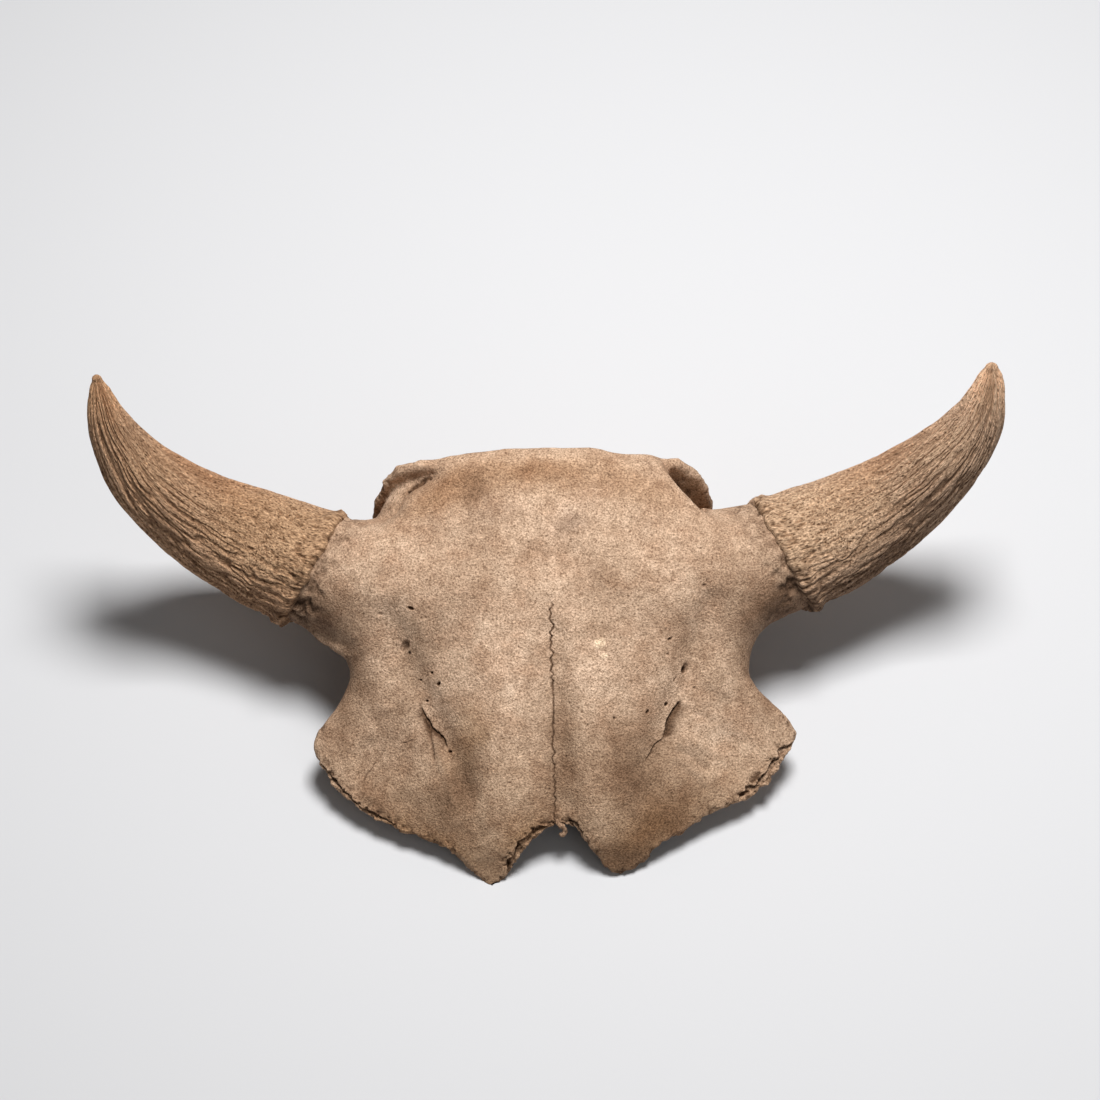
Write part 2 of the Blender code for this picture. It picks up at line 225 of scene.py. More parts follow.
def lattice_noise(points: Array, size: float | Array, seed: int) -> Array:
    """Smooth random field: a value from -1 to 1 for each corner of a lattice, mixed between them.

    Args:
        points: Places, one row each.
        size: The lattice's cell, one number or one for each axis, in metres.
        seed: Picks another field.

    Returns:
        One value for each point.
    """
    scaled = points / size
    cell = np.floor(scaled).astype(np.int64)
    share = smooth_step(scaled - cell, 0.0, 1.0)
    total = np.zeros(len(points))
    for corner in np.ndindex(2, 2, 2):
        c = cell + np.array(corner)
        key = (c[:, 0] * 73856093) ^ (c[:, 1] * 19349663) ^ (c[:, 2] * 83492791) ^ (seed * 2654435761)
        key = ((key ^ (key >> 13)) * 1274126177) & 0x7FFFFFFF
        value = ((key ^ (key >> 15)) & 0xFFFF) / 32767.5 - 1.0
        total += value * np.prod(np.where(corner, share, 1 - share), axis=1)
    return total


def layered_noise(points: Array, size: float, seed: int, layers: int = 3) -> Array:
    """Sum of lattice noises, each half as large and a little over half as strong as the last."""
    total = np.zeros(len(points))
    for k in range(layers):
        total += 0.55**k * lattice_noise(points, size / 2**k, seed + 17 * k)
    return total


# Meshes


def mesh_object(name: str, points: Array, faces: list) -> Object:
    """A smooth-shaded object at the origin with these points, in the row's axes, and faces."""
    mesh = bpy.data.meshes.new(name)
    mesh.from_pydata(points.tolist(), [], faces)
    mesh.validate()
    mesh.shade_smooth()
    thing = bpy.data.objects.new(name, mesh)
    bpy.context.scene.collection.objects.link(thing)
    return thing


def store(mesh: Mesh, name: str, kind: str, values: Array) -> None:
    """Writes one value for each point into a named attribute that the material reads.

    Args:
        mesh: The piece's mesh.
        name: The attribute's name.
        kind: FLOAT_COLOR or FLOAT_VECTOR.
        values: One row for each point.
    """
    if kind == "FLOAT_COLOR":
        values = np.column_stack([values, np.ones(len(values))])
    attribute = mesh.attributes.new(name, kind, "POINT")
    socket = "color" if kind == "FLOAT_COLOR" else "vector"
    attribute.data.foreach_set(socket, values.astype(np.float32).ravel())


def points_of(mesh: Mesh) -> Array:
    """The mesh's points as an array."""
    flat = np.empty(len(mesh.vertices) * 3, np.float32)
    mesh.vertices.foreach_get("co", flat)
    return flat.reshape(-1, 3).astype(float)


def surface_of(values: Array, low: Array, spacing: float) -> tuple[Array, Array]:
    """Closed surface where a sampled field is zero.

    Each cell that the surface crosses holds one point, the mean of the crossings on the cell's
    edges. Each crossed grid edge is ringed by one quad through its four cells' points.

    Args:
        values: The field on a regular grid.
        low: The grid's first corner.
        spacing: The grid's step.

    Returns:
        The points and the quads.
    """
    inside = values < 0
    cells = tuple(n - 1 for n in values.shape)
    corners = [tuple(slice(o, o + n) for o, n in zip(at, cells)) for at in np.ndindex(2, 2, 2)]
    filled = sum(inside[c].astype(int) for c in corners)
    mixed = np.argwhere((filled > 0) & (filled < 8))
    total, hits = np.zeros((len(mixed), 3)), np.zeros(len(mixed))
    steps = np.eye(3, dtype=int)
    for axis in range(3):
        for offset in np.ndindex(2, 2, 2):
            if offset[axis]:
                continue
            start = mixed + np.array(offset)
            a, b = values[tuple(start.T)], values[tuple((start + steps[axis]).T)]
            crossed = (a < 0) != (b < 0)
            t = np.where(crossed, a / np.where(crossed, a - b, 1.0), 0.0)
            total += np.where(crossed[:, None], start + t[:, None] * steps[axis], 0.0)
            hits += crossed
    points = low + total / hits[:, None] * spacing
    index = np.full(cells, -1)
    index[tuple(mixed.T)] = np.arange(len(mixed))
    quads = []
    for axis in range(3):
        u, v = steps[(axis + 1) % 3], steps[(axis + 2) % 3]
        ends = [slice(1, -1)] * 3
        ends[axis] = slice(0, -1)
        beyond = list(ends)
        beyond[axis] = slice(1, None)
        now, after = inside[tuple(ends)], inside[tuple(beyond)]
        lowest = 1 - steps[axis]
        for leaving, order in ((True, (0, 1, 2, 3)), (False, (3, 2, 1, 0))):
            edge = np.argwhere((now != after) & (now == leaving)) + lowest
            ring = [edge - u - v, edge - v, edge, edge - u]
            quads.append(np.stack([index[tuple(ring[k].T)] for k in order], axis=1))
    return points, np.vstack(quads)


def fill_pinches(values: Array, depth: float) -> Array:
    """Fills a corner of each grid face whose filled corners touch only across its diagonal."""
    found = True
    while found:
        found = False
        for axis in range(3):
            low, high = slice(0, -1), slice(1, None)
            corners = []
            for u, v in ((low, low), (high, low), (low, high), (high, high)):
                face = [u, v]
                face.insert(axis, slice(None))
                corners.append(values[tuple(face)])
            a, b, c, d = corners
            one = (a < 0) & (d < 0) & (b >= 0) & (c >= 0)
            other = (a >= 0) & (d >= 0) & (b < 0) & (c < 0)
            b[one] = a[other] = -depth
            found |= bool(one.any() or other.any())
    return values


def directions_round(tangent: Array, first: Array, count: int) -> Array:
    """Unit directions square to a path: the first ones, turned about the tangents in even steps.

    Args:
        tangent: The path's unit directions, one for each ring.
        first: A direction square to each tangent, of any length.
        count: Directions for each ring.

    Returns:
        One row for each direction, ring after ring.
    """
    first = first / np.linalg.norm(first, axis=1)[:, None]
    second = np.cross(tangent, first)
    angle = np.linspace(0.0, 2 * math.pi, count, endpoint=False)[None, :, None]
    return (np.cos(angle) * first[:, None] + np.sin(angle) * second[:, None]).reshape(-1, 3)


def ring_faces(rings: int, spokes: int, mirrored: bool = False) -> list:
    """Faces of a closed tube: quads between the rings, and a fan round a pole at each end.

    Args:
        rings: Number of rings.
        spokes: Points on each ring.
        mirrored: Whether the points are mirrored, so that the faces turn the other way.

    Returns:
        The faces. The rings' points come first, then the first pole and the last pole.
    """
    spoke = np.arange(spokes)
    after = (spoke + 1) % spokes
    ring = np.arange(rings - 1)[:, None] * spokes
    quads = np.stack([ring + spoke, ring + after, ring + after + spokes, ring + spoke + spokes], -1)
    last, foot = (rings - 1) * spokes, rings * spokes
    start = np.stack([after, spoke, np.full_like(spoke, foot)], -1)
    end = np.stack([last + spoke, last + after, np.full_like(spoke, foot + 1)], -1)
    way = -1 if mirrored else 1
    faces = quads.reshape(-1, 4)[:, ::way].tolist()
    return faces + start[:, ::way].tolist() + end[:, ::way].tolist()


def refine(mesh: Mesh, chosen: Array, cuts: int) -> None:
    """Splits the chosen faces, and keeps the mesh closed round them.

    Args:
        mesh: The mesh, changed in place.
        chosen: One flag for each face.
        cuts: New points on each edge of a chosen face.
    """
    work = bmesh.new()
    work.from_mesh(mesh)
    work.faces.ensure_lookup_table()
    edges = dict.fromkeys(e for i in np.flatnonzero(chosen) for e in work.faces[i].edges)
    bmesh.ops.subdivide_edges(work, edges=list(edges), cuts=cuts, use_grid_fill=True)
    bmesh.ops.triangulate(work, faces=[f for f in work.faces if len(f.verts) > 4])
    work.to_mesh(mesh)
    work.free()


def face_facts(mesh: Mesh) -> tuple[Array, Array]:
    """Centre and normal of each face."""
    found = []
    for name in ("center", "normal"):
        flat = np.empty(len(mesh.polygons) * 3, np.float32)
        mesh.polygons.foreach_get(name, flat)
        found.append(flat.reshape(-1, 3).astype(float))
    return found[0], found[1]


# The cranium's forms


@dataclass(frozen=True)
class BrokenRim:
    """A stretch of edge where the upper layer of bone broke off and the spongy one below shows.

    The line runs along the edge in plan, in millimetres; so does the step back of the upper layer.
    """

    line: Rows
    step_back: float
    reach: float = 11.0

    def step(self, x: Array, y: Array) -> Array:
        """How far the upper layer's edge stands back here: full near the line, none past its ends."""
        signed, share = line_distance(x, y, self.line)
        ends = smooth_step(share, 0.0, 0.22) * smooth_step(share, 1.0, 0.78)
        near = smooth_step(np.abs(signed), (self.reach + 3) * MM, self.reach * MM)
        return self.step_back * MM * ends * near


@dataclass(frozen=True)
class Forehead:
    """The frontal bones: a thick dome behind the eyes, thin brow plates and nasal prongs in front.

    The outer surface is a height over the plan, read from a small table with Catmull-Rom weights.
    The plan's edge runs from the notch for the nasal bones round each side to the crest.
    """

    across: tuple[float, ...] = (0.0, 0.030, 0.060, 0.090, 0.120, 0.150, 0.180)
    back: tuple[float, ...] = (
        -0.300, -0.265, -0.235, -0.200, -0.165, -0.130, -0.090, -0.050, -0.015, 0.015,
    )
    heights_mm: Rows = (
        (-36, -34, -37, -43, -48, -51, -54),
        (-19, -15, -20, -30, -37, -43, -48),
        (-7, -3, -9, -22, -31, -38, -44),
        (1, 2, -4, -17, -27, -35, -41),
        (6, 5, 0, -11, -23, -33, -42),
        (9, 7, 2, -6, -17, -31, -48),
        (8, 6, 2, -3, -9, -20, -34),
        (2, 1, -2, -7, -12, -20, -30),
        (-6, -7, -11, -18, -28, -42, -56),
        (-20, -21, -25, -32, -42, -54, -68),
    )
    right_edge: Rows = (
        (0.000, -0.2560), (0.012, -0.2575), (0.022, -0.2705), (0.030, -0.2835), (0.0370, -0.2900),
        (0.0445, -0.2920), (0.0530, -0.2895), (0.0600, -0.2830), (0.071, -0.273), (0.088, -0.2635),
        (0.102, -0.254), (0.131, -0.244), (0.1465, -0.234), (0.161, -0.214), (0.1665, -0.2055),
        (0.1680, -0.1995), (0.1650, -0.1935), (0.1617, -0.1884), (0.1570, -0.1820),
        (0.1518, -0.1770), (0.1465, -0.1720), (0.1417, -0.1661), (0.1380, -0.1600),
        (0.1365, -0.1547), (0.1365, -0.1490), (0.1379, -0.1426), (0.1395, -0.1345),
        (0.1394, -0.1213), (0.1390, -0.1100), (0.124, -0.070), (0.104, -0.044), (0.0995, -0.037),
        (0.092, -0.0285), (0.0835, -0.0165), (0.080, -0.009), (0.074, -0.006), (0.055, -0.005),
        (0.031, 0.001),
    )
    left_edge: Rows = (
        (0.000, -0.2560), (-0.0095, -0.2605), (-0.022, -0.270), (-0.0286, -0.281),
        (-0.0366, -0.2910), (-0.0465, -0.2995), (-0.0553, -0.2900), (-0.067, -0.2776),
        (-0.0813, -0.2677), (-0.109, -0.2573), (-0.1287, -0.2465), (-0.144, -0.235),
        (-0.154, -0.225), (-0.161, -0.214), (-0.1670, -0.2036), (-0.1666, -0.1989),
        (-0.1657, -0.1930), (-0.1638, -0.1880), (-0.1610, -0.1830), (-0.1564, -0.1779),
        (-0.1517, -0.1727), (-0.1483, -0.1677), (-0.1455, -0.1626), (-0.1427, -0.1568),
        (-0.1407, -0.1510), (-0.1406, -0.1459), (-0.1415, -0.1410), (-0.1431, -0.1367),
        (-0.1440, -0.1310), (-0.1417, -0.1199), (-0.1390, -0.1100), (-0.126, -0.070),
        (-0.104, -0.042), (-0.099, -0.030), (-0.093, -0.0235), (-0.079, -0.016), (-0.071, -0.007),
        (-0.059, -0.001), (-0.031, 0.002),
    )
    roof_thick: float = 0.026
    rim_thick: float = 0.0095
    layer_thick: float = 0.0027
    thin_from_y: float = -0.158
    thin_to_y: float = -0.192
    chipped_before_y: float = -0.192
    chip_sizes: Span = (0.0070, 0.0026)
    chip_depths: Span = (0.0011, 0.0007)
    crisp_from: Span = (0.066, 0.078)
    broken: tuple["BrokenRim", ...] = (
        BrokenRim(((124.0, -249.0), (146.5, -234.0), (161.0, -214.0), (167.0, -201.0)), 6.2),
        BrokenRim(((-100.0, -259.0), (-128.7, -246.5), (-154.0, -225.0), (-166.0, -203.0)), 2.6),
        BrokenRim(((-2.0, -256.0), (-22.0, -270.0), (-29.0, -281.0), (-37.0, -291.0)), 4.6),
        BrokenRim(((5.0, -257.0), (12.0, -257.5), (18.0, -264.0)), 2.4),
    )

    def height(self, x: Array, y: Array) -> Array:
        """Height of the outer surface: the table, mirrored, read with cubic weights both ways."""
        table = np.array(self.heights_mm) * MM
        table = np.pad(np.hstack([table[:, 1:2], table]), ((1, 1), (0, 1)), mode="edge")
        i, wx = cubic_weights(np.abs(x), self.across)
        j, wy = cubic_weights(y, self.back)
        return sum(wy[b] * wx[a] * table[j + b, i + a] for a in range(4) for b in range(4))

    def thickness(self, y: Array) -> Array:
        """Thin in front, thick behind, with a smooth step between."""
        rear = smooth_step(y, self.thin_to_y, self.thin_from_y)
        return self.rim_thick + (self.roof_thick - self.rim_thick) * rear

    def edge(self, x: Array, y: Array) -> Array:
        """Signed distance in plan to the edge, negative inside."""
        return outline_distance(x, y, self.right_edge + self.left_edge[:0:-1])

    def chips(self, p: Array) -> Array:
        """How far the broken front edges stand back: two lattice noises over the plan."""
        broken = smooth_step(p[:, 1], self.chipped_before_y, self.chipped_before_y - 0.02)
        total = np.zeros(len(p))
        for size, depth, seed in zip(self.chip_sizes, self.chip_depths, (3, 4)):
            total += depth * lattice_noise(p, size, seed)
        return total * broken

    def steps(self, p: Array) -> Array:
        """How far the upper layer's edge stands back, made uneven by noise."""
        total = sum(rim.step(p[:, 0], p[:, 1]) for rim in self.broken)
        return total * (1 + 0.45 * lattice_noise(p * [1, 1, 0], 0.006, 5))

    def distance(self, p: Array) -> Array:
        """Between the outer surface and the inner one below it, trimmed by the edge."""
        x, y, z = p.T
        top = self.height(x, y)
        thick = self.thickness(y)
        rear = smooth_step(y, self.thin_to_y, self.thin_from_y)
        slab = soft_trim((z - top) * 0.93, (top - thick - z) * 0.93, 0.003)
        edge = self.edge(x, y) + self.chips(p)
        crisp = smooth_step(x, *self.crisp_from) * smooth_step(y, -0.052, -0.042)
        return soft_trim(slab, edge, 0.0030 + 0.0110 * rear * (1 - 0.85 * crisp))


@dataclass(frozen=True)
class NeckPlate:
    """The plate at the back that the neck muscles held, leaning forward as it goes down."""

    top: Place = (0.0, -0.001, -0.012)
    lean: float = math.radians(24.8)
    right_edge: Rows = (
        (0.000, 0.005), (0.031, 0.008), (0.055, 0.016), (0.076, 0.017), (0.093, 0.018),
        (0.107, 0.034), (0.1145, 0.053), (0.1195, 0.078), (0.1195, 0.098), (0.114, 0.114),
        (0.096, 0.127), (0.070, 0.133), (0.040, 0.136), (0.000, 0.137),
    )
    left_edge: Rows = (
        (0.000, 0.005), (-0.031, 0.006), (-0.059, 0.009), (-0.087, 0.009), (-0.104, 0.016),
        (-0.1145, 0.033), (-0.1225, 0.057), (-0.126, 0.080), (-0.125, 0.099), (-0.118, 0.115),
        (-0.098, 0.127), (-0.071, 0.133), (-0.040, 0.136),
    )
    rim_half: float = 0.0045
    core_half: float = 0.0120
    slot_route: Rows = ((0.0890, -0.0140), (0.0980, -0.0250), (0.1065, -0.0390))
    slot_half: float = 0.0042

    def distance(self, p: Array) -> Array:
        """Distance out of the leaning plane less half the thickness, trimmed by the outline."""
        rear, up = p[:, 1] - self.top[1], p[:, 2] - self.top[2]
        down = -rear * math.sin(self.lean) - up * math.cos(self.lean)
        out = rear * math.cos(self.lean) - up * math.sin(self.lean)
        edge = outline_distance(p[:, 0], down, self.right_edge + self.left_edge[:0:-1])
        half = self.rim_half + (self.core_half - self.rim_half) * smooth_step(-edge, 0.002, 0.060)
        return soft_trim(np.abs(out) - half, edge, 0.006)

    def slot(self, p: Array) -> Array:
        """Narrow slot behind the roof's right edge: near a route in plan that leans with the plate."""
        level = p[:, 1] - (p[:, 2] + 0.020) * math.tan(self.lean)
        route = np.array(self.slot_route)
        distance = np.full(len(p), np.inf)
        flat = np.column_stack([p[:, 0], level])
        for a, b in zip(route[:-1], route[1:]):
            t = np.clip((flat - a) @ (b - a) / ((b - a) @ (b - a)), 0.0, 1.0)
            distance = np.minimum(distance, np.linalg.norm(flat - a - t[:, None] * (b - a), axis=1))
        return np.maximum(distance - self.slot_half, -0.075 - p[:, 2])


@dataclass(frozen=True)
class OrbitWall:
    """What is left of the inner wall of each eye socket, hanging under the brow plate."""

    across: Span = (0.054, 0.060)
    back: Span = (-0.150, -0.252)
    down: Span = (-0.096, -0.040)
    half: float = 0.0036
    ragged: float = 0.0045

    def distance(self, p: Array, side: Array, roof: Array) -> Array:
        """A thin wall between the brow plate and a ragged lower edge that rises to the front."""
        y, z = p[:, 1], p[:, 2]
        t = np.clip((y - self.back[0]) / (self.back[1] - self.back[0]), -0.3, 1.0)
        middle = self.across[0] + t * (self.across[1] - self.across[0])
        low = self.down[0] + t * (self.down[1] - self.down[0])
        low = low + self.ragged * layered_noise(p * [1, 1, 0], 0.018, 8)
        across = np.abs(side - middle) - self.half
        height = np.maximum(z - roof + 0.004, (low - z) * 0.85)
        length = np.maximum(self.back[1] - y, y - self.back[0] - 0.020)
        return soft_trim(across, np.maximum(height, length), 0.004)


@dataclass(frozen=True)
class SkullForm:
    """All forms of the cranium as one distance field in the skull's axes."""

    forehead: Forehead = Forehead()
    plate: NeckPlate = NeckPlate()
    orbit_wall: OrbitWall = OrbitWall()
    stalk: Rows = (
        (0.070, -0.096, -0.042, 0.040), (0.120, -0.087, -0.048, 0.0445),
        (0.158, -0.076, -0.052, 0.0408), (0.174, -0.0705, -0.0535, 0.0385),
    )
    left_ledge: Rows = (
        (-0.1690, -0.1130, -0.046, 0.0030), (-0.1580, -0.1225, -0.044, 0.0040),
        (-0.1490, -0.1290, -0.038, 0.0036), (-0.1420, -0.1330, -0.032, 0.0024),
    )
    braincase: Rows = ((0.0, -0.094, -0.066), (0.060, 0.074, 0.056))
    brow_wedge: Rows = ((0.078, -0.142, -0.048), (0.054, 0.036, 0.028))
    condyle: Rows = (
        (0.050, -0.040, -0.098, 0.015), (0.042, -0.033, -0.118, 0.020), (0.022, -0.040, -0.134, 0.015),
    )
    glenoid: Rows = ((0.086, -0.094, -0.102), (0.034, 0.024, 0.011))
    bulla: Rows = ((0.050, -0.088, -0.116), (0.014, 0.018, 0.014))
    mastoid_cord: Rows = (
        (0.106, -0.050, -0.090, 0.012), (0.116, -0.080, -0.096, 0.013), (0.113, -0.118, -0.094, 0.009),
    )
    neck_process: Rows = (
        (0.074, -0.056, -0.118, 0.014), (0.074, -0.064, -0.138, 0.010), (0.072, -0.070, -0.1495, 0.0070),
    )
    skull_base: Rows = (
        (0.0, -0.056, -0.125, 0.018), (0.0, -0.108, -0.104, 0.015), (0.0, -0.152, -0.081, 0.013),
    )
    nape_ridge: Rows = (
        (0.0, -0.010, -0.042, 0.010), (0.0, -0.018, -0.066, 0.010), (0.0, -0.030, -0.096, 0.007),
    )
    temple_hollow: Rows = (
        (0.089, -0.050, -0.076, 0.011), (0.088, -0.085, -0.083, 0.015), (0.096, -0.135, -0.086, 0.016),
    )
    foramen: Rows = (
        (0.0, -0.020, -0.121, 0.0195), (0.0, -0.050, -0.110, 0.0185), (0.0, -0.078, -0.100, 0.0120),
    )
    left_web: Rows = (
        (-0.080, -0.019, -0.036, 0.0095), (-0.100, -0.030, -0.0435, 0.0110),
        (-0.113, -0.050, -0.060, 0.0120),
    )
    wide_blend: float = 0.019
    middle_blend: float = 0.012
    crest_blend: float = 0.011
    ledge_blend: float = 0.006
    tight_blend: float = 0.005

    def distance(self, p: Array) -> Array:
        """Signed distance to the bone, negative inside: forms joined and hollows trimmed softly."""
        q = p.copy()
        q[:, 0] = np.abs(p[:, 0])
        wide, middle, tight = self.wide_blend, self.middle_blend, self.tight_blend
        bone = self.forehead.distance(p)
        bone = soft_join(bone, ellipsoid(q, self.brow_wedge), middle)
        bone = soft_join(bone, tube(q, self.stalk), wide)
        bone = soft_join(bone, ellipsoid(q, self.braincase), middle)
        base = soft_join(tube(q, self.skull_base), ellipsoid(q, self.bulla), tight)
        base = soft_join(base, ellipsoid(q, self.glenoid), middle)
        base = soft_join(base, tube(q, self.mastoid_cord), middle)
        bone = soft_join(bone, base, middle)
        bone = soft_trim(bone, -tube(q, self.temple_hollow), tight)
        roof = self.forehead.height(p[:, 0], p[:, 1])
        bone = soft_join(bone, self.orbit_wall.distance(p, q[:, 0], roof), tight)
        back = soft_join(self.plate.distance(p), tube(q, self.condyle), tight)
        back = soft_join(back, tube(q, self.neck_process), middle)
        back = soft_join(back, tube(p, self.nape_ridge), middle)
        blend = self.crest_blend + (tight - self.crest_blend) * smooth_step(q[:, 0], 0.066, 0.084)
        bone = soft_join(bone, back, blend)
        bone = soft_join(bone, tube(p, self.left_web), tight)
        bone = soft_join(bone, tube(p, self.left_ledge), self.ledge_blend)
        bone = soft_trim(bone, -self.plate.slot(p), 0.002)
        return soft_trim(bone, -tube(q, self.foramen), 0.004)

    def slope(self, p: Array, step: float = 0.0004) -> Array:
        """Unit gradient of the field, by central differences: the way out of the bone."""
        out = np.empty_like(p)
        for axis in range(3):
            shift = np.zeros(3)
            shift[axis] = step
            out[:, axis] = self.distance(p + shift) - self.distance(p - shift)
        return out / np.maximum(np.linalg.norm(out, axis=1), 1e-12)[:, None]

    def settle(self, p: Array, rounds: int = 2, furthest: float = 0.0015) -> tuple[Array, Array]:
        """Moves points onto the zero surface along the gradient.

        Args:
            p: Points near the surface.
            rounds: How often each point is moved.
            furthest: The most that one round moves a point.

        Returns:
            The points on the surface, and the outward normals there.
        """
        for _ in range(rounds):
            out = self.slope(p)
            p = p - np.clip(self.distance(p), -furthest, furthest)[:, None] * out
        return p, out


# Relief on the cranium


@dataclass(frozen=True)
class Pit:
    """An oval hole in the forehead, in millimetres, its long way turned from x by so many degrees.

    Dirt is the share of dark soil at its bottom. A negative depth is a swelling.
    """

    x: float
    y: float
    long: float
    wide: float
    deep: float
    turned: float = 0.0
    dirt: float = 1.0

    def depth(self, x: Array, y: Array) -> Array:
        """A bowl: full depth out to half the oval, then smoothly up to a rim just outside it."""
        a = math.radians(self.turned)
        dx, dy = x / MM - self.x, y / MM - self.y
        u = (dx * math.cos(a) + dy * math.sin(a)) / self.long
        v = (dy * math.cos(a) - dx * math.sin(a)) / self.wide
        inside = np.clip(1.25 - (u * u + v * v), 0.0, 1.25)
        return self.deep * MM * np.minimum(inside * inside, 1.0)


@dataclass(frozen=True)
class Furrow:
    """A groove, ridge or crack along a line in plan. Sizes in millimetres.

    The depth falls away from the line as a bell curve and fades at both ends. A drop adds a step
    on one side, deepest beside the line and fading over its reach. A negative depth is a ridge.
    """

    line: Rows
    deep: float
    wide: float
    drop: float = 0.0
    reach: float = 7.0
    lower_left: bool = True
    wander: float = 0.0
    dirt: float = 0.0
    fade: float = 0.12

    def depth(self, x: Array, y: Array) -> Array:
        """The bell across the line plus the one-sided step, both faded at the line's ends."""
        if self.wander:
            place = np.column_stack([x, y, np.zeros(len(x))])
            x = x + self.wander * MM * layered_noise(place, 0.0042, 61)
            y = y + self.wander * MM * layered_noise(place, 0.0042, 62)
        signed, share = line_distance(x, y, self.line)
        fade = smooth_step(share, 0.0, self.fade) * smooth_step(share, 1.0, 1.0 - self.fade)
        bell = self.deep * np.exp(-((signed / (self.wide * MM)) ** 2))
        if not self.drop:
            return MM * fade * bell
        low = signed if self.lower_left else -signed
        ends = smooth_step(np.abs(signed), 3 * self.reach * MM, 0.0)
        step = np.where(low > 0, self.drop * np.exp(-low / (self.reach * MM)), 0.0)
        return MM * fade * (bell + step * ends)


class Hue(Enum):
    """How a patch changes colour: powers of its strength for red, green and blue."""

    BROWN = (1.0, 1.15, 1.30)
    GREY = (1.0, 1.06, 1.04)
    OCHRE = (0.7, 1.25, 2.10)
    RUST = (1.0, 1.45, 1.95)


@dataclass(frozen=True)
class Stain:
    """A soft oval patch, in millimetres, darker or paler than the bone round it."""

    x: float
    y: float
    long: float
    wide: float
    turned: float
    strength: float
    hue: Hue = Hue.BROWN

    def kept(self, x: Array, y: Array) -> Array:
        """Shares of red, green and blue kept, fading out as a bell curve from the middle."""
        a = math.radians(self.turned)
        dx, dy = x / MM - self.x, y / MM - self.y
        u = (dx * math.cos(a) + dy * math.sin(a)) / self.long
        v = (dy * math.cos(a) - dx * math.sin(a)) / self.wide
        bell = np.exp(-(u * u + v * v))[:, None]
        return np.exp(bell * math.log(self.strength) * np.array(self.hue.value))


class Seam(Enum):
    """Stretches of the seam between the frontal bones, as their ends in y, in millimetres."""

    TIGHT = (-106.0, -182.0)
    OPEN = (-182.0, -259.0)


